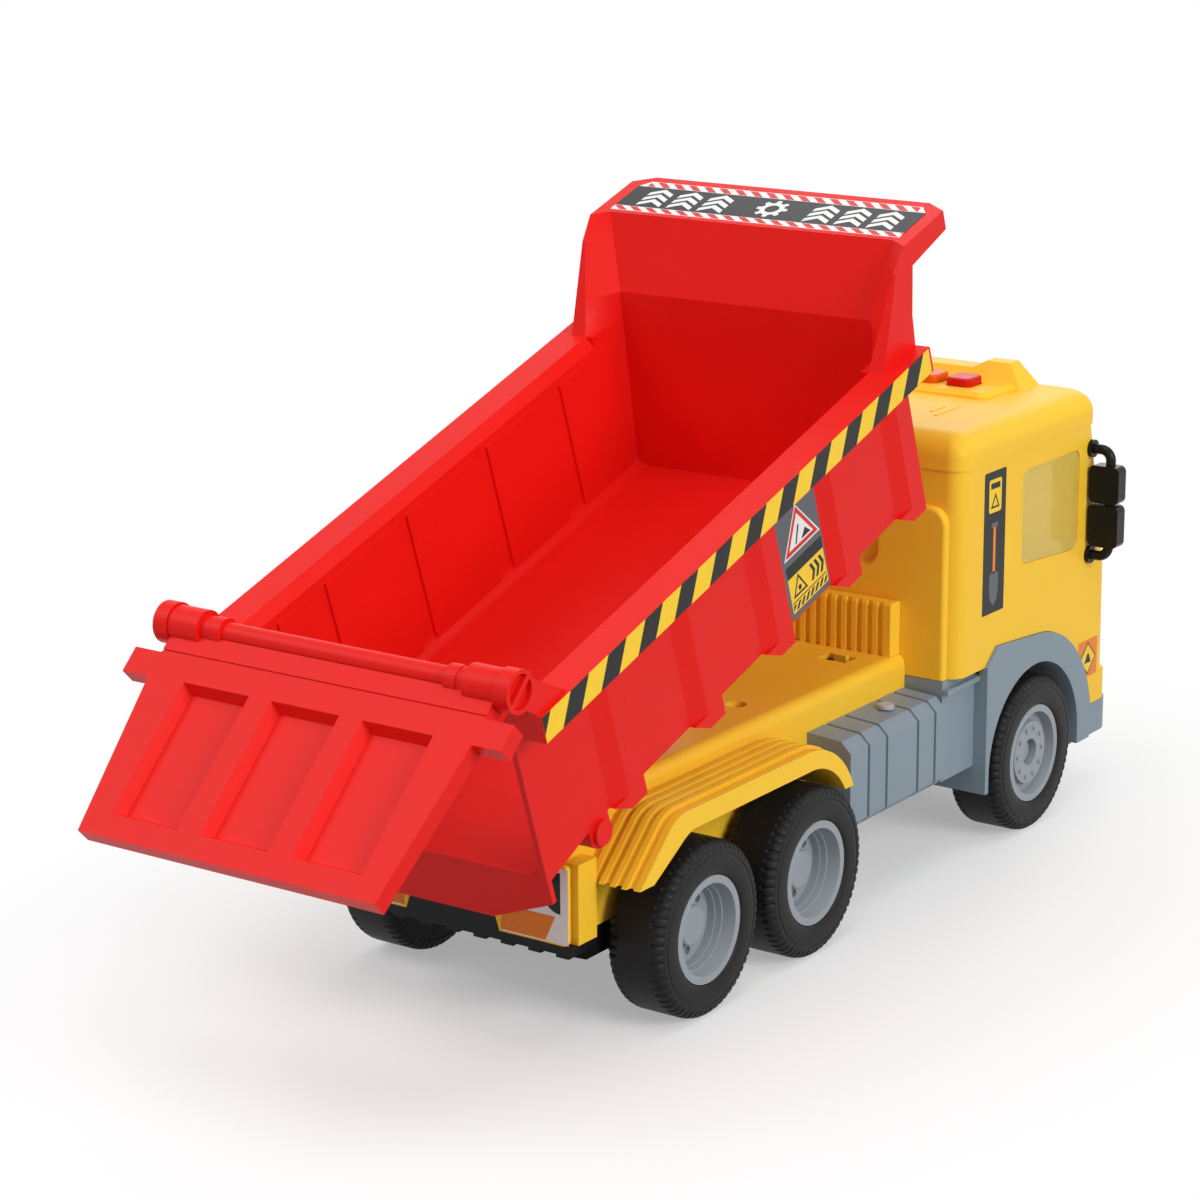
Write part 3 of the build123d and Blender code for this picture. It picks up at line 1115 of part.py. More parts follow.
with BuildPart() as cab_roof:
    extrude(cab_plan(CAB_SEAM_Z, CAB_TOP_FRONT_X, -ROOF_PROUD), amount=ROOF_WALL_TOP - CAB_SEAM_Z)
    loft([roof_level(step) for step in range(ROOF_STEPS + 1)])
    # platform under the buttons
    with BuildSketch(Plane.XY.offset(ROOF_TOP - WALL)):
        with Locations(((PLATFORM_REAR_X + PLATFORM_FRONT_X) / 2, 0)):
            RectangleRounded(PLATFORM_FRONT_X - PLATFORM_REAR_X, 2 * PLATFORM_HALF, BUTTON_CORNER_R + WALL)
    extrude(amount=PLATFORM_TOP - ROOF_TOP + WALL)
    chamfer(cab_roof.faces().sort_by(Axis.Z)[-1].edges(), 1.6)
    add(fairing.part)
    # hollow inside
    extrude(cab_plan(CAB_SEAM_Z, CAB_TOP_FRONT_X, ROOF_SKIN), amount=ROOF_WALL_TOP - CAB_SEAM_Z,
            mode=Mode.SUBTRACT)
    extrude(cab_plan(ROOF_WALL_TOP, CAB_TOP_FRONT_X, ROOF_ROUNDING), mode=Mode.SUBTRACT,
            amount=ROOF_TOP - ROOF_SKIN - ROOF_WALL_TOP)
    with BuildSketch(Plane.XY.offset(ROOF_WALL_TOP)):
        with Locations((BUTTON_X, 0)):
            Rectangle(BUTTON_LENGTH + 4 * BUTTON_FLANGE, board_width)
    extrude(amount=ceiling_z - ROOF_WALL_TOP, mode=Mode.SUBTRACT)
    with BuildSketch(Plane.XY.offset(ceiling_z)):
        with Locations([(BUTTON_X, button_y) for button_y in button_ys]):
            RectangleRounded(BUTTON_LENGTH + 2 * BUTTON_GAP, BUTTON_WIDTH + 2 * BUTTON_GAP,
                             BUTTON_CORNER_R + BUTTON_GAP)
    extrude(amount=PLATFORM_TOP - ceiling_z, mode=Mode.SUBTRACT)
    # rim that sits inside the cab's walls
    extrude(cab_plan(CAB_SEAM_Z - ROOF_PLUG, CAB_TOP_FRONT_X, WALL + SEAT_FIT), amount=ROOF_PLUG)
    extrude(cab_plan(CAB_SEAM_Z - ROOF_PLUG, CAB_TOP_FRONT_X, 2 * WALL), amount=ROOF_PLUG,
            mode=Mode.SUBTRACT)
    # posts for the circuit board
    with BuildSketch(Plane.XY.offset(board_top)):
        with Locations((BUTTON_X, 0)):
            with GridLocations(BOARD_LENGTH - 4.0, board_width - 4.0, 2, 2):
                Circle(WALL / 2 + 0.5)
    extrude(amount=ROOF_TOP - ROOF_SKIN / 2 - board_top)
    # raised dashes
    for dash_x, dash_y, dash_length in DASHES:
        with BuildSketch(Plane.XY.offset(ROOF_TOP - DASH_HEIGHT)):
            with Locations((dash_x, dash_y), (dash_x, -dash_y)):
                Rectangle(dash_length, DASH_WIDTH)
        extrude(amount=2 * DASH_HEIGHT)
save(cab_roof, "cab_roof")

for number, button_y in enumerate(button_ys, start=1):
    with BuildPart() as button:
        with BuildSketch(Plane.XY.offset(flange_bottom)):
            with Locations((BUTTON_X, button_y)):
                Rectangle(BUTTON_LENGTH + 2 * BUTTON_FLANGE, BUTTON_WIDTH + 2 * BUTTON_FLANGE)
        extrude(amount=BUTTON_FLANGE_THICK)
        with BuildSketch(Plane.XY.offset(flange_bottom)):
            with Locations((BUTTON_X, button_y)):
                RectangleRounded(BUTTON_LENGTH, BUTTON_WIDTH, BUTTON_CORNER_R)
        extrude(amount=PLATFORM_TOP + BUTTON_RISE - flange_bottom)
        fillet(button.faces().sort_by(Axis.Z)[-1].edges(), 1.0)
    save(button, f"button_{number}")

with BuildPart() as circuit_board:
    with BuildSketch(Plane.XY.offset(board_top - BOARD_THICK)):
        with Locations((BUTTON_X, 0)):
            Rectangle(BOARD_LENGTH, board_width)
    extrude(amount=BOARD_THICK)
    with BuildSketch(Plane.XY.offset(board_top)):
        with Locations([(BUTTON_X, button_y) for button_y in button_ys]):
            Rectangle(SWITCH_SIZE, SWITCH_SIZE)
    extrude(amount=SWITCH_HEIGHT)
save(circuit_board, "circuit_board")


# ---- bucket -------------------------------------------------------------------------

def headboard_at(v):
    """Inner face of the headboard at the height v: its u and its half-width."""
    if v < HEAD_CREASE_V:
        part = (v - FLOOR_V) / (HEAD_CREASE_V - FLOOR_V)
        foot_half = TUB_HALF - WALL - PANEL_RAISE / 2
        return (HEAD_FOOT_U + part * (HEAD_CREASE_U - HEAD_FOOT_U),
                foot_half + part * (HEAD_CREASE_HALF - foot_half))
    part = (v - HEAD_CREASE_V) / (VISOR_V - HEAD_CREASE_V)
    return (HEAD_CREASE_U + part * (HEAD_TOP_U - HEAD_CREASE_U),
            HEAD_CREASE_HALF + part * (HEAD_TOP_HALF - HEAD_CREASE_HALF))


def cavity_level(v, half, corner_u):
    """Plan of the load space at the height v: straight sides, then a facet to the headboard."""
    head_u, head_half = headboard_at(v)
    rear_u = TUB_REAR_U - 10.0
    with BuildSketch(tub_plan.offset(v)) as level:
        with BuildLine():
            Polyline([
                (rear_u, -half), (rear_u, half), (corner_u, half), (head_u, head_half),
                (head_u, -head_half), (corner_u, -half),
            ], close=True)
        make_face()
    return level.sketch


inner_half = TUB_HALF - WALL
rail_inner = inner_half + RAIL_BEVEL
rail_head_u, rail_head_half = headboard_at(RAIL_TOP_V)
facet_slope = (rail_head_u - CHEEK_FOOT_U) / (rail_inner - rail_head_half)
inner_corner_u = rail_head_u - (inner_half - rail_head_half) * facet_slope
crease_part = (HEAD_CREASE_V - RAIL_TOP_V) / (CHEEK_BEND_V - RAIL_TOP_V)
cheek_crease_u = CHEEK_FOOT_U + crease_part * (CHEEK_BEND_U - CHEEK_FOOT_U)
cheek_half_step = (CHEEK_HALF - rail_inner) / (VISOR_V - RAIL_TOP_V)

with BuildPart() as load_space:
    loft([
        cavity_level(FLOOR_V, inner_half, HEAD_FOOT_U - WALL),
        cavity_level(RAIL_TOP_V, inner_half, inner_corner_u),
    ], ruled=True)
    with BuildSketch(tub_cross.offset(TUB_REAR_U - 20.0)) as rounded_section:
        with Locations((0, FLOOR_V + RAIL_TOP_V)):
            Rectangle(2 * inner_half, 2 * RAIL_TOP_V)
        fillet(rounded_section.vertices().group_by(Axis.Y)[0], FLOOR_BEND_R)
    extrude(amount=TUB_FRONT_U - TUB_REAR_U + 20.0, mode=Mode.INTERSECT)

with BuildPart() as bucket_tub:
    # outside block with a falling rear floor
    with BuildSketch(tub_side):
        with BuildLine():
            Polyline([
                (TUB_REAR_U, FLOOR_REAR_V - WALL), (FLOOR_SLOPE_U, FLOOR_V - WALL),
                (TUB_FRONT_U, FLOOR_V - WALL), (TUB_FRONT_U, RAIL_TOP_V), (TUB_REAR_U, RAIL_TOP_V),
            ], close=True)
        make_face()
    extrude(amount=TUB_HALF, both=True)
    for side_name, side in SIDES:
        # rail: a channel open below
        with BuildSketch(tub_plan.offset(RAIL_TOP_V - RAIL_HEIGHT)):
            with Locations(((TUB_REAR_U + TUB_FRONT_U) / 2, side * (inner_half + RAIL_HALF) / 2)):
                Rectangle(TUB_FRONT_U - TUB_REAR_U, RAIL_HALF - inner_half)
        extrude(amount=RAIL_HEIGHT)
        with BuildSketch(tub_plan.offset(RAIL_TOP_V - RAIL_HEIGHT)):
            with Locations(((TUB_REAR_U + TUB_FRONT_U) / 2, side * (TUB_HALF + RAIL_HALF - WALL) / 2)):
                Rectangle(TUB_FRONT_U - TUB_REAR_U - 2 * WALL, RAIL_HALF - WALL - TUB_HALF)
        extrude(amount=RAIL_HEIGHT - WALL, mode=Mode.SUBTRACT)
        # outer ribs with a sloping rear flank, reaching below the floor
        for rib_u in RIB_STARTS:
            with BuildSketch(tub_plan.offset(FLOOR_V - WALL)):
                with BuildLine():
                    Polyline([
                        (rib_u, side * (TUB_HALF - WALL)), (rib_u, side * TUB_HALF),
                        (rib_u + RIB_WEDGE, side * (TUB_HALF + RIB_PROUD)),
                        (rib_u + RIB_WEDGE + RIB_FACE, side * (TUB_HALF + RIB_PROUD)),
                        (rib_u + RIB_WEDGE + RIB_FACE, side * (TUB_HALF - WALL)),
                    ], close=True)
                make_face()
            extrude(amount=RAIL_TOP_V - WALL - FLOOR_V + WALL)
            with BuildSketch(tub_side.offset(-side * (TUB_HALF - 2 * WALL))):
                with BuildLine():
                    Polyline([
                        (rib_u, FLOOR_V - WALL), (rib_u + RIB_WEDGE, RIB_BOTTOM_V),
                        (rib_u + RIB_WEDGE + RIB_FACE, RIB_BOTTOM_V),
                        (rib_u + RIB_WEDGE + RIB_FACE, FLOOR_V - WALL),
                    ], close=True)
                make_face()
            extrude(amount=-side * (2 * WALL + RIB_PROUD))
    # headboard with its cheeks
    with BuildSketch(tub_side):
        with BuildLine():
            Polyline([
                (CHEEK_FOOT_U, RAIL_TOP_V - WALL), (CHEEK_FOOT_U, RAIL_TOP_V), (CHEEK_BEND_U, CHEEK_BEND_V),
                (CHEEK_TOP_U, VISOR_V), (VISOR_CORNER_U, VISOR_V), (VISOR_CORNER_U, VISOR_V - VISOR_DEPTH),
                (HEAD_TOP_U, VISOR_V - VISOR_DEPTH - WALL), (HEAD_CREASE_U + VISOR_DEPTH, HEAD_CREASE_V),
                (TUB_FRONT_U, RAIL_TOP_V - WALL),
            ], close=True)
        make_face()
    extrude(amount=CHEEK_HALF, both=True)
    # visor
    with BuildSketch(tub_plan.offset(VISOR_V - VISOR_DEPTH)):
        with BuildLine():
            Polyline([
                (CHEEK_TOP_U, -CHEEK_HALF), (VISOR_CORNER_U, -CHEEK_HALF), (VISOR_FRONT_U, -VISOR_FRONT_HALF),
                (VISOR_FRONT_U, VISOR_FRONT_HALF), (VISOR_CORNER_U, CHEEK_HALF), (CHEEK_TOP_U, CHEEK_HALF),
            ], close=True)
        make_face()
    extrude(amount=VISOR_DEPTH)
    # load space
    add(load_space.part, mode=Mode.SUBTRACT)
    loft([
        cavity_level(RAIL_TOP_V, rail_inner, CHEEK_FOOT_U),
        cavity_level(HEAD_CREASE_V, rail_inner + cheek_half_step * (HEAD_CREASE_V - RAIL_TOP_V), cheek_crease_u),
        cavity_level(CHEEK_BEND_V, rail_inner + cheek_half_step * (CHEEK_BEND_V - RAIL_TOP_V), CHEEK_BEND_U),
        cavity_level(VISOR_V, CHEEK_HALF, CHEEK_TOP_U),
    ], ruled=True, mode=Mode.SUBTRACT)
    fall = TUB_AHEAD * (TUB_REAR_U - FLOOR_SLOPE_U) + TUB_UP * (FLOOR_REAR_V - FLOOR_V)
    with BuildSketch(tub_cross.offset(FLOOR_SLOPE_U)) as falling_section:
        with Locations((0, FLOOR_V + RAIL_TOP_V)):
            Rectangle(2 * inner_half, 2 * RAIL_TOP_V)
        fillet(falling_section.vertices().group_by(Axis.Y)[0], FLOOR_BEND_R)
    extrude(amount=fall.length * 1.02, dir=fall.normalized(), mode=Mode.SUBTRACT)
    # bevel along the inner edge of the rails
    for side_name, side in SIDES:
        with BuildSketch(tub_cross.offset(TUB_REAR_U)):
            with BuildLine():
                Polyline([
                    (side * inner_half, RAIL_TOP_V - RAIL_BEVEL_HEIGHT), (side * rail_inner, RAIL_TOP_V),
                    (side * inner_half, RAIL_TOP_V),
                ], close=True)
            make_face()
        extrude(amount=CHEEK_FOOT_U - TUB_REAR_U, mode=Mode.SUBTRACT)
        # raised fields between the ribs
        for field_start, field_end in zip(PANEL_STARTS, PANEL_ENDS):
            with BuildSketch(tub_plan.offset(FLOOR_V - WALL / 2)):
                with Locations(((field_start + field_end) / 2, side * (inner_half - PANEL_RAISE / 2 + WALL / 4))):
                    Rectangle(field_end - field_start, PANEL_RAISE + WALL / 2)
            extrude(amount=PANEL_TOP_V - FLOOR_V + WALL / 2)
    # hollow in front of the headboard and under the visor
    with BuildSketch(tub_side):
        with BuildLine():
            Polyline([
                (HEAD_FOOT_U + HEAD_THICK, RIB_BOTTOM_V - WALL), (HEAD_FOOT_U + HEAD_THICK, FLOOR_V),
                (HEAD_CREASE_U + HEAD_THICK, HEAD_CREASE_V), (HEAD_TOP_U + HEAD_THICK, VISOR_V - WALL),
                (VISOR_FRONT_U - 2 * WALL, VISOR_V - WALL), (VISOR_FRONT_U - 2 * WALL, RIB_BOTTOM_V - WALL),
            ], close=True)
        make_face()
    extrude(amount=HEAD_CREASE_HALF - WALL, both=True, mode=Mode.SUBTRACT)
    # plate below the rear edge of the floor
    with BuildSketch(tub_cross.offset(TUB_REAR_U)):
        with BuildLine():
            Polyline([
                (-TUB_HALF, FLOOR_REAR_V - WALL / 2), (-TUB_HALF, SKIRT_SIDE_V),
                (-SKIRT_BOTTOM_HALF, SKIRT_DROP_V), (SKIRT_BOTTOM_HALF, SKIRT_DROP_V),
                (TUB_HALF, SKIRT_SIDE_V), (TUB_HALF, FLOOR_REAR_V - WALL / 2),
            ], close=True)
        make_face()
    extrude(amount=WALL)
    for side_name, side in SIDES:
        # pivot boss below the floor
        boss_inner = POST_HALF + SIDE_GAP
        with BuildSketch(tub_across(0, 0, boss_inner, side)):
            Circle(PIVOT_BOSS_R)
        extrude(amount=TUB_HALF - boss_inner)
        with BuildSketch(tub_side.offset(-side * boss_inner)):
            with Locations((0, (FLOOR_V - WALL / 2) / 2)):
                Rectangle(2 * PIVOT_BOSS_R, FLOOR_V - WALL / 2)
        extrude(amount=-side * (TUB_HALF - boss_inner))
        with BuildSketch(tub_across(0, 0, boss_inner, side)):
            Circle(PIN_R + SEAT_FIT)
        extrude(amount=TUB_HALF - boss_inner, mode=Mode.SUBTRACT)
        # hinge drum and its web on the rail's end
        with BuildSketch(tub_side.offset(-side * DRUM_INNER)):
            with BuildLine():
                Polyline([
                    (WEB_TOP_U, WEB_TOP_V), (WEB_FRONT_U, RAIL_TOP_V - WALL / 2),
                    (TUB_REAR_U, RAIL_TOP_V - WALL / 2), (TUB_REAR_U, HINGE_V - GATE_LUG_TOP + LUG_CLEAR),
                    (HINGE_U, HINGE_V - DRUM_R + LUG_CLEAR),
                ], close=True)
            make_face()
            with Locations((HINGE_U, HINGE_V)):
                Circle(DRUM_R)
        extrude(amount=-side * (DRUM_OUTER - DRUM_INNER))
        with BuildSketch(tub_across(HINGE_U, HINGE_V, DRUM_OUTER - DRUM_RECESS, side)):
            Circle(DRUM_RECESS_R)
            Rectangle(2 * DRUM_RECESS_R, DRUM_BRIDGE, rotation=45, mode=Mode.SUBTRACT)
        extrude(amount=DRUM_RECESS, mode=Mode.SUBTRACT)
        with BuildSketch(tub_across(HINGE_U, HINGE_V, DRUM_INNER, side)):
            Circle(PIN_R + SEAT_FIT)
        extrude(amount=HINGE_PIN_SEAT, mode=Mode.SUBTRACT)
save(bucket_tub, "bucket_tub")

for side_name, side in SIDES:
    with BuildPart() as pivot_pin:
        with BuildSketch(tub_across(0, 0, PIVOT_EAR_INNER, side)):
            Circle(PIN_R)
        extrude(amount=TUB_HALF - PIVOT_EAR_INNER)
        with BuildSketch(tub_across(0, 0, TUB_HALF, side)):
            Circle(PIVOT_HEAD_R)
        extrude(amount=PIVOT_HEAD_THICK)
    save(pivot_pin, f"pivot_pin_{side_name}")

    with BuildPart() as hinge_pin:
        with BuildSketch(tub_across(HINGE_U, HINGE_V, DRUM_INNER - HINGE_PIN_DEPTH, side)):
            Circle(PIN_R)
        extrude(amount=HINGE_PIN_DEPTH + HINGE_PIN_SEAT)
    save(hinge_pin, f"hinge_pin_{side_name}")


# ---- tailgate -----------------------------------------------------------------------

with BuildPart() as tailgate:
    with BuildSketch(gate_face.offset(GATE_OUTER)):
        with BuildLine():
            half_gate = Polyline([
                (0, GATE_TOP), (GATE_TOP_HALF, GATE_TOP), (GATE_TOP_HALF, GATE_LUG_TOP),
                (GATE_LUG_HALF, GATE_LUG_TOP), (GATE_LUG_HALF, GATE_LUG_BOTTOM),
                (GATE_TOP_HALF, GATE_LUG_BOTTOM), (GATE_BOTTOM_HALF, GATE_BOTTOM), (0, GATE_BOTTOM),
            ])
            mirror(half_gate, about=Plane.YZ)
        make_face()
    extrude(amount=-GATE_THICK)
    with BuildSketch(gate_face.offset(GATE_OUTER)):
        with Locations((0, (FIELD_TOP + FIELD_BOTTOM) / 2)):
            with GridLocations(FIELD_PITCH, 0, 3, 1):
                Rectangle(FIELD_WIDTH, FIELD_BOTTOM - FIELD_TOP)
    extrude(amount=-FIELD_DEPTH, taper=FIELD_TAPER, mode=Mode.SUBTRACT)
    with BuildSketch(gate_face.offset(GATE_OUTER)):
        with Locations((0, GATE_LINE)):
            Rectangle(2 * GATE_TOP_HALF, GATE_LINE_WIDTH)
    extrude(amount=-LINE_DEPTH, mode=Mode.SUBTRACT)
    with BuildSketch(across(HINGE.X, HINGE.Z, 0)):
        Circle(BAR_R)
    extrude(amount=BARREL_INNER, both=True)
    for side_name, side in SIDES:
        for inner, outer, radius in (
            (BARREL_INNER, DRUM_INNER - SIDE_GAP, BARREL_R), (RING_INNER, BARREL_INNER, RING_R),
            (COLLAR_INNER, RING_INNER, COLLAR_R),
        ):
            with BuildSketch(across(HINGE.X, HINGE.Z, inner, side)):
                Circle(radius)
            extrude(amount=outer - inner)
        with BuildSketch(across(HINGE.X, HINGE.Z, DRUM_INNER - HINGE_PIN_DEPTH - SIDE_GAP, side)):
            Circle(PIN_R + SHAFT_FIT)
        extrude(amount=HINGE_PIN_DEPTH + SIDE_GAP, mode=Mode.SUBTRACT)
save(tailgate, "tailgate")
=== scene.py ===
"""Dresses the toy dump truck: finishes, tyres with cut shoulders, printed labels, studio."""

import logging
from dataclasses import dataclass, field
from enum import Enum
from math import cos, pi, radians, sin
from typing import Sequence, Union

import bpy
import numpy as np
from mathutils import Matrix, Vector


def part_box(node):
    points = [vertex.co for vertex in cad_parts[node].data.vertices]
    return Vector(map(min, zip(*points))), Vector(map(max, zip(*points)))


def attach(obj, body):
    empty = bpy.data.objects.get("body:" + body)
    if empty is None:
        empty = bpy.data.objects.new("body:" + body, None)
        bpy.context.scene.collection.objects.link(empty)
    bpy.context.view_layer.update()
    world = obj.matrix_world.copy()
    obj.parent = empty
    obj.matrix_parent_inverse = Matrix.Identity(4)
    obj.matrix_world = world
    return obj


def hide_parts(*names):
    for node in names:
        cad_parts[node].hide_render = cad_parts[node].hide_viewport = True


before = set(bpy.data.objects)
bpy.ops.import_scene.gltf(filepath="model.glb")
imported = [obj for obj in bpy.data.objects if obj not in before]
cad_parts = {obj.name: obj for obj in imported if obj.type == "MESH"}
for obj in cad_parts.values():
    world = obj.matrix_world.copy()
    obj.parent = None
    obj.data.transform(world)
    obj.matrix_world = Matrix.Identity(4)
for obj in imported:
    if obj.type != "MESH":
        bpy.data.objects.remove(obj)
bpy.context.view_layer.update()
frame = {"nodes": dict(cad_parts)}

MM = 0.001
SIDES = (("left", 1), ("right", -1))
LOG = logging.getLogger("dump_truck")

SPECULAR = 0.16          # plastics reflect little
DISPLAY_KNEE = 0.04045   # below this share the display curve is a straight line

Colour = tuple[float, float, float]
Point = tuple[float, float]


# ---- shader maths -----------------------------------------------------------------

def linear(red: int, green: int, blue: int) -> Colour:
    """Turns an 8-bit display colour into the linear values that the shaders take.

    Args:
        red, green, blue: display values from 0 to 255.

    Returns:
        The linear colour.
    """
    def one(value: int) -> float:
        """One channel by the display standard's curve."""
        share = value / 255
        return share / 12.92 if share <= DISPLAY_KNEE else ((share + 0.055) / 1.055) ** 2.4
    return one(red), one(green), one(blue)


class Value:
    """A number in a node tree, on which the plain operators add Math nodes."""

    def __init__(self, recipe: "Recipe", socket: bpy.types.NodeSocket) -> None:
        """Keeps the socket and the recipe that it belongs to."""
        self.recipe = recipe
        self.socket = socket

    def _do(self, operation: str, first: object, second: object) -> "Value":
        """One Math node of that operation on two values or numbers."""
        node = self.recipe.node("ShaderNodeMath", {"operation": operation}, {0: first, 1: second})
        return Value(self.recipe, node.outputs[0])

    def __add__(self, other: object) -> "Value":
        """Sum."""
        return self._do("ADD", self, other)

    __radd__ = __add__

    def __mul__(self, other: object) -> "Value":
        """Product."""
        return self._do("MULTIPLY", self, other)

    __rmul__ = __mul__

    def __sub__(self, other: object) -> "Value":
        """Difference."""
        return self._do("SUBTRACT", self, other)

    def __rsub__(self, other: object) -> "Value":
        """Difference with the value on the right, as in 1 - mask."""
        return self._do("SUBTRACT", other, self)

    def above(self, edge: float, width: float) -> "Value":
        """A soft step from 0 to 1 that starts at edge and is width wide."""
        node = self.recipe.node(
            "ShaderNodeMapRange", {"clamp": True},
            {"Value": self, "From Min": edge, "From Max": edge + width, "To Min": 0.0, "To Max": 1.0})
        return Value(self.recipe, node.outputs[0])


class Recipe:
    """One node material while it is put together."""

    def __init__(self, name: str) -> None:
        """Starts a material with one Principled shader behind its output."""
        self.material = bpy.data.materials.new(name)
        self.material.use_nodes = True
        self.tree = self.material.node_tree
        self.tree.nodes.clear()
        output = self.tree.nodes.new("ShaderNodeOutputMaterial")
        self.shader = self.tree.nodes.new("ShaderNodeBsdfPrincipled")
        self.shader.inputs["Specular IOR Level"].default_value = SPECULAR
        self.tree.links.new(self.shader.outputs[0], output.inputs["Surface"])
        self.output = output

    def node(self, kind: str, settings: dict, inputs: dict) -> bpy.types.Node:
        """Adds one node.

        Args:
            kind: the node's type.
            settings: its own properties, set first.
            inputs: values or links by socket name or number.

        Returns:
            The node.
        """
        made = self.tree.nodes.new(kind)
        for key, value in settings.items():
            setattr(made, key, value)
        for key, value in inputs.items():
            self.feed(made.inputs[key], value)
        return made

    def feed(self, socket: bpy.types.NodeSocket, value: object) -> None:
        """Links or sets one input socket."""
        if isinstance(value, Value):
            self.tree.links.new(value.socket, socket)
        elif isinstance(value, bpy.types.NodeSocket):
            self.tree.links.new(value, socket)
        else:
            socket.default_value = value

    def place(self, stretch: Colour = (1.0, 1.0, 1.0)) -> bpy.types.NodeSocket:
        """Object coordinates, stretched by a factor along each axis."""
        source = self.node("ShaderNodeTexCoord", {}, {}).outputs["Object"]
        return self.node("ShaderNodeMapping", {}, {"Vector": source, "Scale": stretch}).outputs[0]

    def noise(self, scale: float, detail: float, stretch: Colour = (1.0, 1.0, 1.0)) -> Value:
        """Cloudy values from 0 to 1 with so many clouds to a metre."""
        node = self.node(
            "ShaderNodeTexNoise", {},
            {"Vector": self.place(stretch), "Scale": scale, "Detail": detail, "Roughness": 0.55})
        return Value(self, node.outputs[0])

    def mix(self, factor: Value, first: object, second: object) -> bpy.types.NodeSocket:
        """A colour between two, by a factor."""
        def four(colour: object) -> object:
            """A plain colour with its alpha, or a link as it is."""
            return (*colour, 1.0) if isinstance(colour, tuple) else colour
        node = self.node(
            "ShaderNodeMix", {"data_type": "RGBA"}, {0: factor, 6: four(first), 7: four(second)})
        return node.outputs[2]

    def bump(self, height: Value, depth: float, strength: float) -> bpy.types.NodeSocket:
        """A normal from a height from 0 to 1 that stands for so many metres."""
        node = self.node("ShaderNodeBump", {}, {"Height": height, "Distance": depth, "Strength": strength})
        return node.outputs[0]

    def finish(self, **sockets: object) -> bpy.types.Material:
        """Feeds the shader's sockets, with _ for a space in their names, and gives the material."""
        for key, value in sockets.items():
            self.feed(self.shader.inputs[key.replace("_", " ")], value)
        return self.material


def shaded(colour: Colour, factor: float) -> Colour:
    """A colour made darker or lighter by a factor, channel by channel."""
    return tuple(min(1.0, channel * factor) for channel in colour)


# ---- finishes -----------------------------------------------------------------------

@dataclass(frozen=True)
class Moulded:
    """Injection-moulded plastic: faint clouding, a fine mould grain and light handling scuffs."""

    name: str
    colour: Colour
    roughness: float = 0.36
    grain: float = 1500.0
    grain_depth: float = 0.03 * MM
    grain_strength: float = 0.35
    clouds: float = 38.0
    clouding: float = 0.05
    scuffs: float = 420.0
    scuff_from: float = 0.66
    scuff_fade: float = 0.12
    scuff_share: float = 0.10
    scuff_light: float = 1.35

    def material(self) -> bpy.types.Material:
        """Makes the node material."""
        recipe = Recipe(self.name)
        cloud = recipe.noise(self.clouds, 3.0)
        grain = recipe.noise(self.grain, 2.0)
        scuff = recipe.noise(self.scuffs, 4.0, (1.0, 0.35, 1.6)).above(
            self.scuff_from, self.scuff_fade)
        base = recipe.mix(
            cloud, shaded(self.colour, 1 - self.clouding), shaded(self.colour, 1 + self.clouding))
        worn = recipe.mix(scuff * self.scuff_share, base, shaded(self.colour, self.scuff_light))
        return recipe.finish(
            Base_Color=worn, Roughness=self.roughness + (cloud - 0.5) * 0.10 + scuff * 0.12,
            Normal=recipe.bump(grain, self.grain_depth, self.grain_strength))


@dataclass(frozen=True)
class Rubber:
    """Tyre rubber: fine streaks across the tread and a dusty bloom."""

    name: str
    colour: Colour
    roughness: float = 0.62
    bloom_light: float = 1.4
    streak_depth: float = 0.08 * MM

    def material(self) -> bpy.types.Material:
        """Makes the node material."""
        recipe = Recipe(self.name)
        bloom = recipe.noise(60.0, 4.0)
        streak = recipe.noise(900.0, 2.0, (1.0, 0.06, 1.0))
        base = recipe.mix(bloom.above(0.35, 0.5), self.colour, shaded(self.colour, self.bloom_light))
        return recipe.finish(
            Base_Color=base, Roughness=self.roughness + (bloom - 0.5) * 0.2 - streak * 0.08,
            Normal=recipe.bump(streak, self.streak_depth, 0.5))


@dataclass(frozen=True)
class TintedClear:
    """Thin clear moulding with a faint tint and a little haze."""

    name: str
    colour: Colour
    roughness: float = 0.08
    clearness: float = 0.45
    bending: float = 1.35

    def material(self) -> bpy.types.Material:
        """Makes the node material."""
        recipe = Recipe(self.name)
        haze = recipe.noise(90.0, 3.0)
        base = recipe.mix(haze, shaded(self.colour, 0.94), self.colour)
        recipe.shader.inputs["Transmission Weight"].default_value = self.clearness
        recipe.shader.inputs["IOR"].default_value = self.bending
        return recipe.finish(Base_Color=base, Roughness=self.roughness + haze * 0.08)


@dataclass(frozen=True)
class Metal:
    """Turned or drawn steel with fine lines along the truck's width."""

    name: str
    colour: Colour
    roughness: float = 0.32
    line_depth: float = 0.02 * MM

    def material(self) -> bpy.types.Material:
        """Makes the node material."""
        recipe = Recipe(self.name)
        lines = recipe.noise(1600.0, 3.0, (1.0, 0.05, 1.0))
        base = recipe.mix(lines, shaded(self.colour, 0.85), self.colour)
        return recipe.finish(
            Base_Color=base, Metallic=1.0, Roughness=self.roughness + lines * 0.12,
            Normal=recipe.bump(lines, self.line_depth, 0.3))


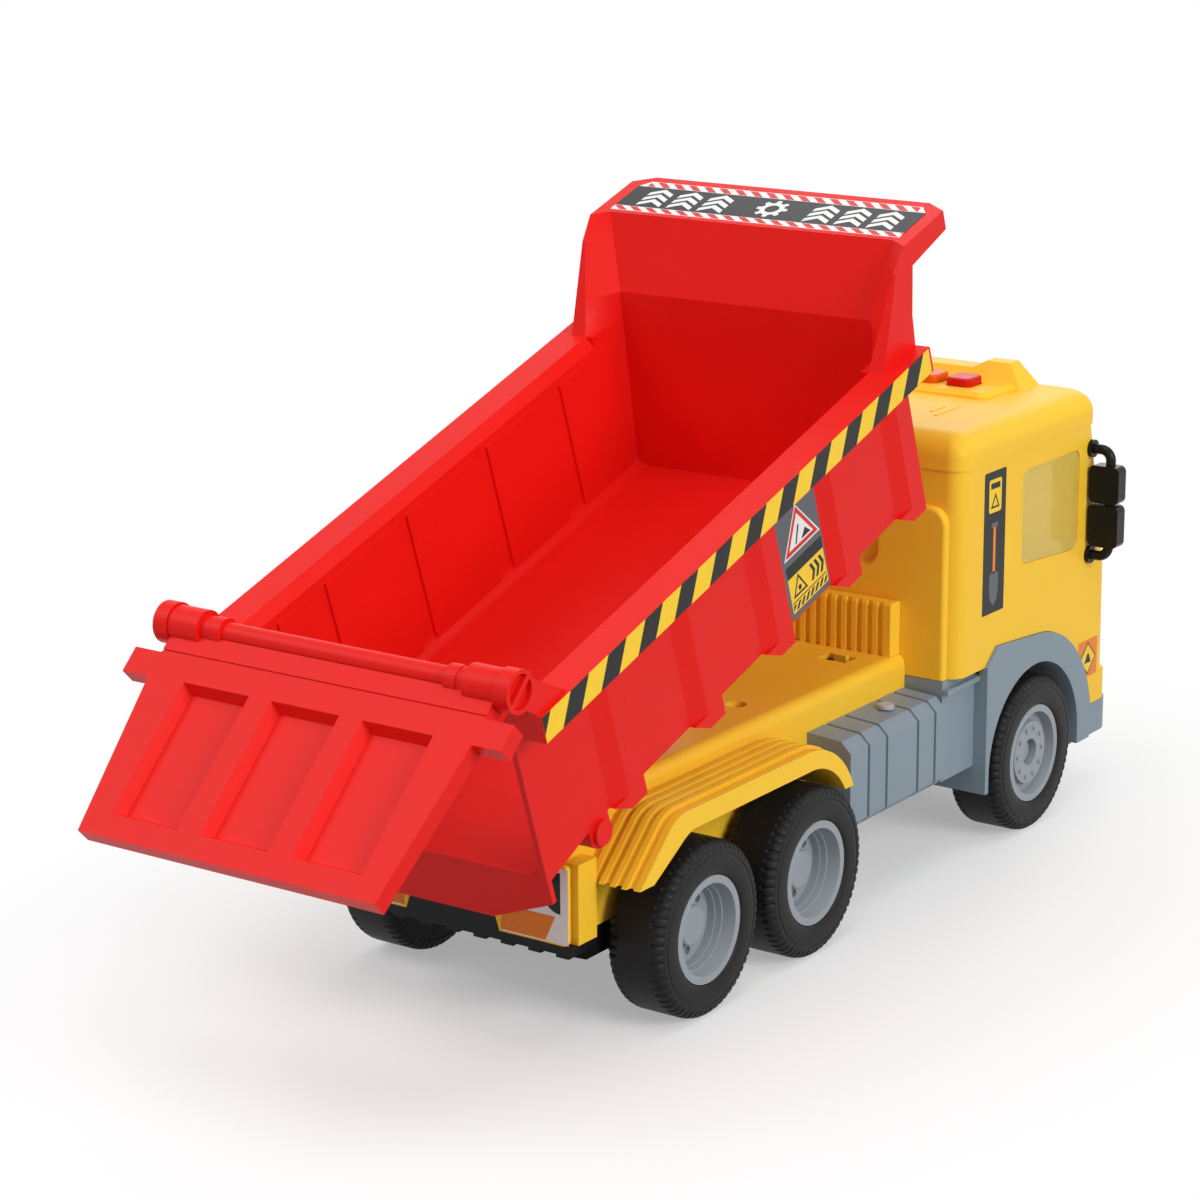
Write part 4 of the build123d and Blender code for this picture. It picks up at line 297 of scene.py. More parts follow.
@dataclass(frozen=True)
class Print:
    """Ink on glossy label film: slight mottle and a smooth coat."""

    name: str
    colour: Colour
    roughness: float = 0.34
    coat: float = 0.08
    mottle_depth: float = 0.01 * MM

    def material(self) -> bpy.types.Material:
        """Makes the node material."""
        recipe = Recipe(self.name)
        mottle = recipe.noise(700.0, 3.0)
        base = recipe.mix(mottle, shaded(self.colour, 0.93), shaded(self.colour, 1.05))
        return recipe.finish(
            Base_Color=base, Roughness=self.roughness + (mottle - 0.5) * 0.12, Coat_Weight=self.coat,
            Coat_Roughness=0.15, Normal=recipe.bump(mottle, self.mottle_depth, 0.3))


class Finish(Enum):
    """The plastics, rubber and metals, by what they are used for."""

    YELLOW = Moulded("yellow_shell", linear(252, 200, 54), roughness=0.42)
    RED = Moulded("red_shell", linear(229, 26, 20), roughness=0.42)
    GREY = Moulded("grey_skirt", linear(134, 149, 159), roughness=0.42)
    RIM = Moulded("rim_grey", linear(152, 160, 166), roughness=0.40)
    BLACK = Moulded("black_trim", linear(22, 22, 24), roughness=0.26)
    BUTTON_RED = Moulded("button_red", linear(204, 16, 14), roughness=0.34)
    BUTTON_ORANGE = Moulded("button_orange", linear(228, 92, 14), roughness=0.34)
    BUTTON_YELLOW = Moulded("button_yellow", linear(250, 200, 40), roughness=0.34)
    SILVER = Moulded("silver_plug", linear(176, 180, 182), roughness=0.34)
    SLEEVE = Moulded("battery_sleeve", linear(50, 110, 165), roughness=0.30)
    BOARD = Moulded("circuit_board", linear(40, 120, 70), roughness=0.45)
    TYRE = Rubber("tyre_rubber", linear(27, 27, 28), roughness=0.5)
    STEEL = Metal("bright_steel", (0.62, 0.62, 0.64))
    CLEAR = TintedClear("tinted_window", linear(255, 226, 112))


class Ink(Enum):
    """The printed colours of the labels, in the order of their material slots."""

    BLACK = Print("ink_black", linear(28, 28, 30))
    YELLOW = Print("ink_yellow", linear(250, 205, 45))
    WHITE = Print("ink_white", linear(238, 238, 236))
    RED = Print("ink_red", linear(214, 38, 40))
    ORANGE = Print("ink_orange", linear(236, 130, 40))
    GREY = Print("ink_grey", linear(92, 96, 102))


class PaintShop:
    """Makes each material once and puts it on pieces and CAD nodes."""

    NODE_FINISH = (
        ("chassis_deck", Finish.YELLOW), ("rear_panel", Finish.YELLOW), ("cab_body", Finish.YELLOW),
        ("cab_roof", Finish.YELLOW), ("cab_skirt", Finish.GREY), ("side_tank", Finish.GREY),
        ("tank_cap", Finish.SILVER), ("under_plate", Finish.BLACK), ("battery_door", Finish.BLACK),
        ("battery_case", Finish.BLACK), ("battery_", Finish.SLEEVE), ("mirror", Finish.BLACK),
        ("grille", Finish.BLACK), ("speaker", Finish.BLACK), ("chassis_screws", Finish.STEEL),
        ("axle_", Finish.STEEL), ("side_window", Finish.CLEAR), ("windscreen", Finish.CLEAR),
        ("headlamp", Finish.CLEAR), ("circuit_board", Finish.BOARD), ("bucket_tub", Finish.RED),
        ("pivot_pin", Finish.RED), ("hinge_pin", Finish.RED), ("tailgate", Finish.RED),
        ("rim_", Finish.RIM), ("hub_cap", Finish.RIM), ("tyre_", Finish.TYRE),
        ("button_1", Finish.BUTTON_RED), ("button_2", Finish.BUTTON_ORANGE),
        ("button_3", Finish.BUTTON_YELLOW), ("button_4", Finish.BUTTON_RED),
    )

    def __init__(self) -> None:
        """Starts with no material made."""
        self.made: dict = {}

    def material(self, choice: Union[Finish, Ink]) -> bpy.types.Material:
        """The material of a finish or ink, made when it is first asked for."""
        if choice not in self.made:
            self.made[choice] = choice.value.material()
        return self.made[choice]

    def dress_nodes(self, nodes: dict) -> None:
        """Gives every CAD node the finish of the first name in the list that its own begins with.

        Args:
            nodes: the CAD nodes by name.
        """
        for name, node in nodes.items():
            finish = next(choice for start, choice in self.NODE_FINISH if name.startswith(start))
            node.data.materials.clear()
            node.data.materials.append(self.material(finish))
        LOG.info("dressed %d nodes", len(nodes))


# ---- tyres -------------------------------------------------------------------------------

@dataclass
class Tyre:
    """A tyre with smooth walls, a raised band and shoulders cut by short notches.

    The surface is a closed profile carried round the axle: x = axle_x + r sin a, z = axle_z + r cos a
    and y runs inwards from the outer face, where the notches lower r and draw y in.
    """

    node: str
    body: str
    side: int
    rim_node: str
    notches: int = 60
    steps_per_notch: int = 8
    notch_depth: float = 0.75 * MM
    notch_reach: float = 4.6 * MM
    notch_edge: float = 0.7 * MM
    notch_from: float = 0.15
    notch_rise: float = 0.5
    notch_change: float = 0.2
    notch_draw: float = 0.6
    shoulder_height: float = 3.0 * MM
    shoulder_edge: float = 1.2 * MM
    seat_fit: float = 0.02 * MM

    def profile(self, radius: float, bore: float, width: float) -> tuple[np.ndarray, np.ndarray]:
        """The closed profile as (radius, distance in from the outer face).

        Args:
            radius: of the tread.
            bore: of the seat on the rim.
            width: of the tyre.

        Returns:
            Two arrays of the same length.
        """
        wall = radius - bore
        half = [
            (bore, 1.5 * MM), (bore + 0.04 * wall, 0.55 * MM), (bore + 0.16 * wall, 0.12 * MM),
            (bore + 0.45 * wall, 0.02 * MM), (bore + 0.60 * wall, 0.10 * MM),
            (bore + 0.63 * wall, 0.38 * MM), (bore + 0.66 * wall, 0.12 * MM),
            (bore + 0.80 * wall, 0.35 * MM), (bore + 0.90 * wall, 0.95 * MM),
            (bore + 0.97 * wall, 2.0 * MM), (radius, 3.4 * MM), (radius, 4.4 * MM),
            (radius, 5.4 * MM), (radius, 0.30 * width), (radius, 0.40 * width), (radius, 0.5 * width),
        ]
        far = [(r, width - w) for r, w in reversed(half[:-1])]
        points = np.array(half + far)
        lengths = np.concatenate([[0.0], np.cumsum(np.hypot(*np.diff(points, axis=0).T))])
        even = np.sort(np.unique(np.concatenate([
            lengths, (lengths[1:] + lengths[:-1]) / 2])))
        return np.interp(even, lengths, points[:, 0]), np.interp(even, lengths, points[:, 1])

    def make(self, shop: PaintShop) -> bpy.types.Object:
        """Builds the tyre in place of its CAD node.

        Args:
            shop: gives the rubber.

        Returns:
            The finished piece.
        """
        low, high = (np.array(corner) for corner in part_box(self.node))
        rim_low, rim_high = (np.array(corner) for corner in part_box(self.rim_node))
        centre = (low + high) / 2
        radius = (high[2] - low[2]) / 2
        bore = (rim_high[2] - rim_low[2]) / 2 + self.seat_fit
        width = high[1] - low[1]
        profile_r, profile_w = self.profile(radius, bore, width)
        angles = np.linspace(0, 2 * pi, self.notches * self.steps_per_notch, endpoint=False)
        wave = np.cos(angles * self.notches)
        cut = np.clip((wave - self.notch_from) / self.notch_rise, 0, 1)
        deeper = np.sign(np.cos(angles * self.notches / 2))
        cut *= 1 - self.notch_change + self.notch_change * deeper
        edge = np.minimum(profile_w, width - profile_w)
        shoulder = (
            np.clip((profile_r - (radius - self.shoulder_height)) / self.shoulder_edge, 0, 1)
            * np.clip((self.notch_reach - edge) / self.notch_edge, 0, 1))
        depth = self.notch_depth * np.outer(cut, shoulder)
        ring = profile_r[None, :] - depth
        drawn = self.notch_draw * np.sign(width / 2 - profile_w)[None, :]
        inward = profile_w[None, :] + depth * drawn
        outer_y = high[1] if self.side > 0 else low[1]
        x = centre[0] + ring * np.sin(angles)[:, None]
        z = centre[2] + ring * np.cos(angles)[:, None]
        y = outer_y - self.side * inward
        grid = np.stack([x, y, z], axis=-1).reshape(-1, 3)
        rows, columns = ring.shape
        here = np.arange(rows)[:, None] * columns + np.arange(columns)[None, :]
        next_row = np.roll(here, -1, axis=0)
        faces = np.stack(
            [here, next_row, np.roll(next_row, -1, axis=1), np.roll(here, -1, axis=1)], axis=-1)
        faces = faces.reshape(-1, 4)
        if self.side < 0:
            faces = faces[:, ::-1]
        piece = mesh_piece(f"tread_{self.node}", grid, faces)
        smooth(piece)
        piece.data.materials.append(shop.material(Finish.TYRE))
        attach(piece, self.body)
        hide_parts(self.node)
        LOG.info("tyre %s: %d faces", piece.name, len(faces))
        return piece


# ---- meshes -------------------------------------------------------------------------------

def mesh_piece(name: str, points: np.ndarray, faces: Sequence) -> bpy.types.Object:
    """Makes an object at the origin from points and faces.

    Args:
        name: of the object.
        points: one row of x, y, z for each.
        faces: point numbers of each face.

    Returns:
        The object, linked to the scene.
    """
    mesh = bpy.data.meshes.new(name)
    mesh.from_pydata(points.tolist(), [], [list(map(int, face)) for face in faces])
    mesh.validate()
    mesh.update()
    piece = bpy.data.objects.new(name, mesh)
    bpy.context.scene.collection.objects.link(piece)
    return piece


def smooth(piece: bpy.types.Object) -> None:
    """Shades every face of a piece smooth."""
    flags = np.ones(len(piece.data.polygons), dtype=bool)
    piece.data.polygons.foreach_set("use_smooth", flags)


def clipped(outline: Sequence[Point], low: float, high: float) -> list[Point]:
    """The part of an outline whose first coordinate lies between two values.

    Args:
        outline: corners in order.
        low, high: the limits.

    Returns:
        The corners that are left, which may be none.
    """
    for limit, sign in ((low, 1), (high, -1)):
        kept = []
        for index, (u, v) in enumerate(outline):
            before_u, before_v = outline[index - 1]
            if (sign * (u - limit) > 0) != (sign * (before_u - limit) > 0):
                share = (limit - before_u) / (u - before_u)
                kept.append((limit, before_v + share * (v - before_v)))
            if sign * (u - limit) > 0:
                kept.append((u, v))
        outline = kept
    return list(outline)


def disc(u: float, v: float, radius: float, sides: int = 24) -> list[Point]:
    """A round or regular outline about a centre, with its first corner to the right of it."""
    turns = [2 * pi * k / sides for k in range(sides)]
    return [(u + radius * cos(turn), v + radius * sin(turn)) for turn in turns]


def box_outline(u0: float, u1: float, v0: float, v1: float, corner: float = 0.0) -> list[Point]:
    """A rectangle with cut corners where corner isn't 0."""
    if not corner:
        return [(u0, v0), (u1, v0), (u1, v1), (u0, v1)]
    return [
        (u0 + corner, v0), (u1 - corner, v0), (u1, v0 + corner), (u1, v1 - corner),
        (u1 - corner, v1), (u0 + corner, v1), (u0, v1 - corner), (u0, v0 + corner)]


@dataclass
class Label:
    """A printed label: flat films laid on a plane, each a little above the one before.

    A film's point (u, v) lies at origin + u along + v up + its height outward, in millimetres.
    """

    name: str
    body: str
    origin: Vector
    along: Vector
    up: Vector
    outward: Vector
    slot: str = "black_plastic"
    layer: float = 0.04
    lift: float = 0.04
    points: list = field(default_factory=list)
    faces: list = field(default_factory=list)
    inks: list = field(default_factory=list)

    def film(self, ink: Ink, outline: Sequence[Point], level: int) -> None:
        """Adds one film as a thin closed prism.

        Args:
            ink: its colour.
            outline: its corners on the plane.
            level: 0 for the film on the plastic, 1 for ink on that, and so on.
        """
        if len(outline) < 3:
            return
        turn = sum(a[0] * b[1] - a[1] * b[0] for a, b in zip(outline, [*outline[1:], outline[0]]))
        if turn * self.along.cross(self.up).dot(self.outward) < 0:
            outline = list(reversed(outline))
        start, count = len(self.points), len(outline)
        for height in (0.0, (level + 1) * self.layer + self.lift):
            for u, v in outline:
                place = self.origin + self.along * u + self.up * v + self.outward * height
                self.points.append(tuple(place * MM))
        top = [start + count + k for k in range(count)]
        self.faces.append(top)
        self.faces.append([start + k for k in reversed(range(count))])
        for k in range(count):
            after = (k + 1) % count
            self.faces.append([start + k, start + after, start + count + after, start + count + k])
        self.inks += [ink] * (count + 2)

    def frame_of(
            self, ink: Ink, outline: Sequence[Point], inner: Sequence[Point], level: int) -> None:
        """Adds a ring between two outlines with the same number of corners, one film for each side."""
        for k in range(len(outline)):
            after = (k + 1) % len(outline)
            self.film(ink, [outline[k], outline[after], inner[after], inner[k]], level)

    def hazard(
            self, ink: Ink, area: tuple, pitch: float, lean: float, level: int,
            share: float = 0.5) -> None:
        """Slanted stripes within a rectangle.

        Args:
            ink: the stripes' colour.
            area: (u0, u1, v0, v1).
            pitch: from one stripe to the next.
            lean: how far a stripe's top is ahead of its foot.
            level: of the films.
            share: of the pitch that a stripe takes.
        """
        u0, u1, v0, v1 = area
        first = int((u0 - abs(lean)) // pitch) - 1
        last = int((u1 + abs(lean)) // pitch) + 1
        for number in range(first, last + 1):
            foot = number * pitch
            end = foot + share * pitch
            stripe = [(foot, v0), (end, v0), (end + lean, v1), (foot + lean, v1)]
            self.film(ink, clipped(stripe, u0, u1), level)

    def make(self, shop: PaintShop) -> bpy.types.Object:
        """Turns the films into one piece.

        Args:
            shop: gives the inks.

        Returns:
            The finished piece.
        """
        piece = mesh_piece(self.name, np.array(self.points), self.faces)
        used = sorted(set(self.inks), key=list(Ink).index)
        for ink in used:
            piece.data.materials.append(shop.material(ink))
        numbers = np.array([used.index(ink) for ink in self.inks], dtype=np.int32)
        piece.data.polygons.foreach_set("material_index", numbers)
        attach(piece, self.body)
        LOG.info("label %s: %d inks", self.name, len(used))
        return piece


# ---- bucket ---------------------------------------------------------------------------------

@dataclass
class BucketLabels:
    """Labels that tip with the bucket, whose own axes lean by its rest angle about the pivot."""

    pivot: Vector = field(default_factory=lambda: Vector((-116.15, 0.0, 76.7)))
    rest_tilt: float = radians(18.25)
    rail_half: float = 70.8
    rail: tuple = (-29.3, 207.8, 55.1, 64.0)
    stripe_pitch: float = 20.8
    stripe_lean: float = 7.0
    stripe_share: float = 0.48
    wall_half: float = 58.0
    plate: tuple = (119.0, 146.0, 5.0, 44.0)
    visor_level: float = 100.5
    visor: tuple = (217.3, 240.5)
    visor_half: float = 60.0
    visor_corner: tuple = (3.5, 4.5)
    dash: float = 3.6
    dash_pitch: float = 6.6
    dash_lean: float = 4.2
    chevron_from: float = 22.0
    chevron_pitch: float = 13.0
    chevron_rise: float = 3.9
    cog_teeth: int = 8

    @property
    def ahead(self) -> Vector:
        """The bucket's forward axis."""
        return Vector((cos(self.rest_tilt), 0.0, sin(self.rest_tilt)))

    @property
    def up(self) -> Vector:
        """The bucket's upward axis."""
        return Vector((-sin(self.rest_tilt), 0.0, cos(self.rest_tilt)))

    def on_side(self, name: str, half: float, side: int, slot: str) -> Label:
        """A label on a face at that distance from the middle, on one side."""
        outward = Vector((0.0, side, 0.0))
        return Label(name, "bucket", self.pivot + outward * half, self.ahead, self.up, outward, slot)

    def tape(self, side_name: str, side: int) -> Label:
        """Yellow tape with dark slanted stripes along a rail."""
        label = self.on_side(f"rail_tape_{side_name}", self.rail_half, side, "yellow_plastic")
        label.film(Ink.YELLOW, box_outline(*self.rail), 0)
        label.hazard(Ink.BLACK, self.rail, self.stripe_pitch, self.stripe_lean, 1, self.stripe_share)
        return label

    def warning(self, side_name: str, side: int) -> Label:
        """Dark plate with a road-works triangle, a yellow panel and hazard stripes, no lettering."""
        label = self.on_side(f"side_plate_{side_name}", self.wall_half, side, "black_plastic")
        u0, u1, v0, v1 = self.plate
        middle = (u0 + u1) / 2
        label.film(Ink.GREY, box_outline(u0, u1, v0, v1, 1.4), 0)
        outer = [(middle - 10.5, v1 - 16.4), (middle + 10.5, v1 - 16.4), (middle, v1 - 1.4)]
        inner = [(middle - 7.9, v1 - 14.9), (middle + 7.9, v1 - 14.9), (middle, v1 - 3.9)]
        rim = [(middle - 11.7, v1 - 17.0), (middle + 11.7, v1 - 17.0), (middle, v1 - 0.6)]
        label.film(Ink.WHITE, rim, 1)
        label.frame_of(Ink.RED, outer, inner, 2)
        # heap and spade
        ground = v1 - 14.2
        label.film(
            Ink.BLACK, [(middle + 0.4, ground), (middle + 6.4, ground), (middle + 3.4, ground + 3.0)], 2)
        label.film(Ink.BLACK, [
            (middle - 3.6, ground), (middle - 2.7, ground), (middle + 0.3, v1 - 8.4),
            (middle - 0.5, v1 - 8.0)], 2)
        panel = (u0 + 2.0, u1 - 2.0, v0 + 2.0, v0 + 19.5)
        label.film(Ink.YELLOW, box_outline(*panel), 1)
        band = (panel[0], panel[1], panel[3] - 4.4, panel[3])
        label.film(Ink.BLACK, box_outline(*band), 2)
        left_end, right_end = panel[0] + 0.6, panel[1] - 0.6
        label.hazard(Ink.BLACK, (left_end, right_end, panel[2] + 0.5, panel[2] + 2.9), 3.0, 2.2, 2)
        label.film(Ink.BLACK, box_outline(left_end, right_end, panel[2] + 3.5, panel[2] + 3.9), 2)
        tri_u, tri_v = panel[0] + 6.2, panel[2] + 5.0
        label.frame_of(
            Ink.BLACK, [(tri_u - 4.6, tri_v), (tri_u + 4.6, tri_v), (tri_u, tri_v + 7.6)],
            [(tri_u - 3.3, tri_v + 0.8), (tri_u + 3.3, tri_v + 0.8), (tri_u, tri_v + 6.2)], 2)
        label.film(Ink.BLACK, disc(tri_u, tri_v + 2.3, 1.0, 12), 2)
        for step in range(3):
            left = panel[1] - 9.6 + 2.9 * step
            label.film(Ink.BLACK, [
                (left, panel[2] + 5.2), (left + 1.5, panel[2] + 5.2), (left + 3.1, panel[2] + 8.4),
                (left + 1.5, panel[2] + 11.6), (left, panel[2] + 11.6), (left + 1.6, panel[2] + 8.4)], 2)
        return label

    def visor_print(self) -> Label:
        """Dark film on the visor with dashed edges, chevrons and a plain cog in the middle."""
        across = Vector((0.0, 1.0, 0.0))
        label = Label(
            "visor_label", "bucket", self.pivot + self.up * self.visor_level, across, self.ahead,
            self.up, "black_plastic")
        rear, front = self.visor
        half, dash = self.visor_half, self.dash
        corner_u, corner_v = self.visor_corner
        label.film(Ink.WHITE, [
            (-half, rear), (half, rear), (half, front - corner_v), (half - corner_u, front),
            (corner_u - half, front), (-half, front - corner_v)], 0)
        label.film(Ink.BLACK, box_outline(-half, half, rear + dash, front - dash - 0.6), 1)
        rear_band = (-half, half, rear + 0.3, rear + dash - 0.3)
        front_band = (3.8 - half, half - 3.8, front - dash - 0.3, front - 0.3)
        for band in (rear_band, front_band):
            label.hazard(Ink.RED, band, self.dash_pitch, self.dash_lean, 1)
        for side in (1, -1):
            for stack in range(3):
                centre = side * (self.chevron_from + self.chevron_pitch * stack) - 1.0
                for row in range(3):
                    foot = rear + dash + 0.9 + self.chevron_rise * row
                    label.film(Ink.WHITE, [
                        (centre - 5.0, foot), (centre, foot + 3.2), (centre + 5.0, foot),
                        (centre + 5.0, foot + 2.4), (centre, foot + 5.6), (centre - 5.0, foot + 2.4)], 2)
        cog_u, cog_v = -2.0, (rear + front) / 2 - 0.3
        label.frame_of(Ink.WHITE, disc(cog_u, cog_v, 4.6), disc(cog_u, cog_v, 2.7), 2)
        for tooth in range(self.cog_teeth):
            angle = 2 * pi * tooth / self.cog_teeth
            out, flank = Vector((cos(angle), sin(angle))), Vector((-sin(angle), cos(angle)))
            tip = [
                out * 4.4 - flank * 1.1, out * 6.2 - flank * 0.8, out * 6.2 + flank * 0.8,
                out * 4.4 + flank * 1.1]
            label.film(Ink.WHITE, [(cog_u + c.x, cog_v + c.y) for c in tip], 2)
        return label

    def make(self, shop: PaintShop) -> None:
        """Lays every label of the bucket."""
        for side_name, side in SIDES:
            self.tape(side_name, side).make(shop)
            self.warning(side_name, side).make(shop)
        self.visor_print().make(shop)


# ---- cab and rear ------------------------------------------------------------------------------

@dataclass
class CabLabels:
    """Labels on the cab's sides."""

    half: float = 62.0
    strip: tuple = (119.5, 135.5, 92.5, 146.0)
    square: tuple = (197.0, 212.5, 49.0, 64.0)

    def on_side(self, name: str, side: int, slot: str) -> Label:
        """A label on the cab's side, with u forward and v up in the truck's own frame."""
        outward = Vector((0.0, side, 0.0))
        return Label(
            name, "chassis", outward * self.half, Vector((1, 0, 0)), Vector((0, 0, 1)), outward, slot)

    def tool_strip(self, side_name: str, side: int) -> Label:
        """Dark strip with a small sign and a shovel."""
        label = self.on_side(f"tool_strip_{side_name}", side, "black_plastic")
        u0, u1, v0, v1 = self.strip
        middle = (u0 + u1) / 2
        label.film(Ink.BLACK, box_outline(u0, u1, v0, v1, 0.5), 0)
        # small sign: triangle under a bar
        label.film(Ink.YELLOW, box_outline(middle - 4.6, middle + 4.6, v1 - 15.5, v1 - 3.0, 0.7), 1)
        label.frame_of(
            Ink.BLACK, [(middle - 3.2, v1 - 13.8), (middle + 3.2, v1 - 13.8), (middle, v1 - 8.2)],
            [(middle - 2.0, v1 - 13.1), (middle + 2.0, v1 - 13.1), (middle, v1 - 9.6)], 2)
        label.film(Ink.BLACK, box_outline(middle - 3.4, middle + 3.4, v1 - 6.6, v1 - 4.4), 2)
        # shovel: grip, shaft and blade
        label.film(Ink.GREY, box_outline(middle - 2.6, middle + 2.6, v1 - 21.0, v1 - 19.4, 0.5), 1)
        label.film(Ink.ORANGE, box_outline(middle - 0.9, middle + 0.9, v0 + 15.0, v1 - 21.0), 1)
        label.film(Ink.GREY, [
            (middle, v0 + 2.6), (middle + 2.4, v0 + 5.0), (middle + 3.3, v0 + 8.4),
            (middle + 3.3, v0 + 14.6), (middle + 1.4, v0 + 15.6), (middle - 1.4, v0 + 15.6),
            (middle - 3.3, v0 + 14.6), (middle - 3.3, v0 + 8.4), (middle - 2.4, v0 + 5.0)], 1)
        return label

    def diamond(self, side_name: str, side: int) -> Label:
        """Orange square with a yellow diamond and a plain dark shape on it."""
        label = self.on_side(f"diamond_sign_{side_name}", side, "yellow_plastic")
        u0, u1, v0, v1 = self.square
        u, v = (u0 + u1) / 2, (v0 + v1) / 2
        label.film(Ink.ORANGE, box_outline(u0, u1, v0, v1), 0)
        label.film(Ink.BLACK, disc(u, v, 6.6, 4), 1)
        label.film(Ink.YELLOW, disc(u, v, 5.8, 4), 2)
        label.film(
            Ink.BLACK, [(u - 2.6, v - 1.8), (u + 2.6, v - 1.8), (u + 0.8, v + 1.8), (u - 0.4, v + 1.8)], 3)
        return label

    def make(self, shop: PaintShop) -> None:
        """Lays every label of the cab."""
        for side_name, side in SIDES:
            self.tool_strip(side_name, side).make(shop)
            self.diamond(side_name, side).make(shop)


@dataclass
class RearLabels:
    """The printed lamp field on each half of the rear panel."""

    reach: tuple = (20.0, 46.5)
    levels: tuple = (36.6, 62.0)
    lamp_radius: float = 7.0

    def lamps(self, side_name: str, side: int) -> Label:
        """White field with an orange wedge and a dark round, seen from behind."""
        low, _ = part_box("rear_panel")
        outward = Vector((-1.0, 0.0, 0.0))
        label = Label(
            f"rear_print_{side_name}", "chassis", outward * (-low[0] / MM), Vector((0, side, 0)),
            Vector((0, 0, 1)), outward, "rim_grey")
        inner, outer = self.reach
        foot, top = self.levels
        label.film(Ink.WHITE, box_outline(inner, outer, foot, top), 0)
        label.film(Ink.ORANGE, [
            (inner, foot + 0.4), (outer - 9.0, foot + 0.4), (outer - 5.0, foot + 9.0),
            (inner, foot + 9.0)], 1)
        half_turn = [radians(90 + 15 * k) for k in range(13)]
        label.film(Ink.BLACK, [
            (outer - 3.0 + self.lamp_radius * cos(turn), foot + 17.0 + self.lamp_radius * sin(turn))
            for turn in half_turn], 1)
        return label

    def make(self, shop: PaintShop) -> None:
        """Lays both fields."""
        for side_name, side in SIDES:
            self.lamps(side_name, side).make(shop)


# ---- studio ----------------------------------------------------------------------------------

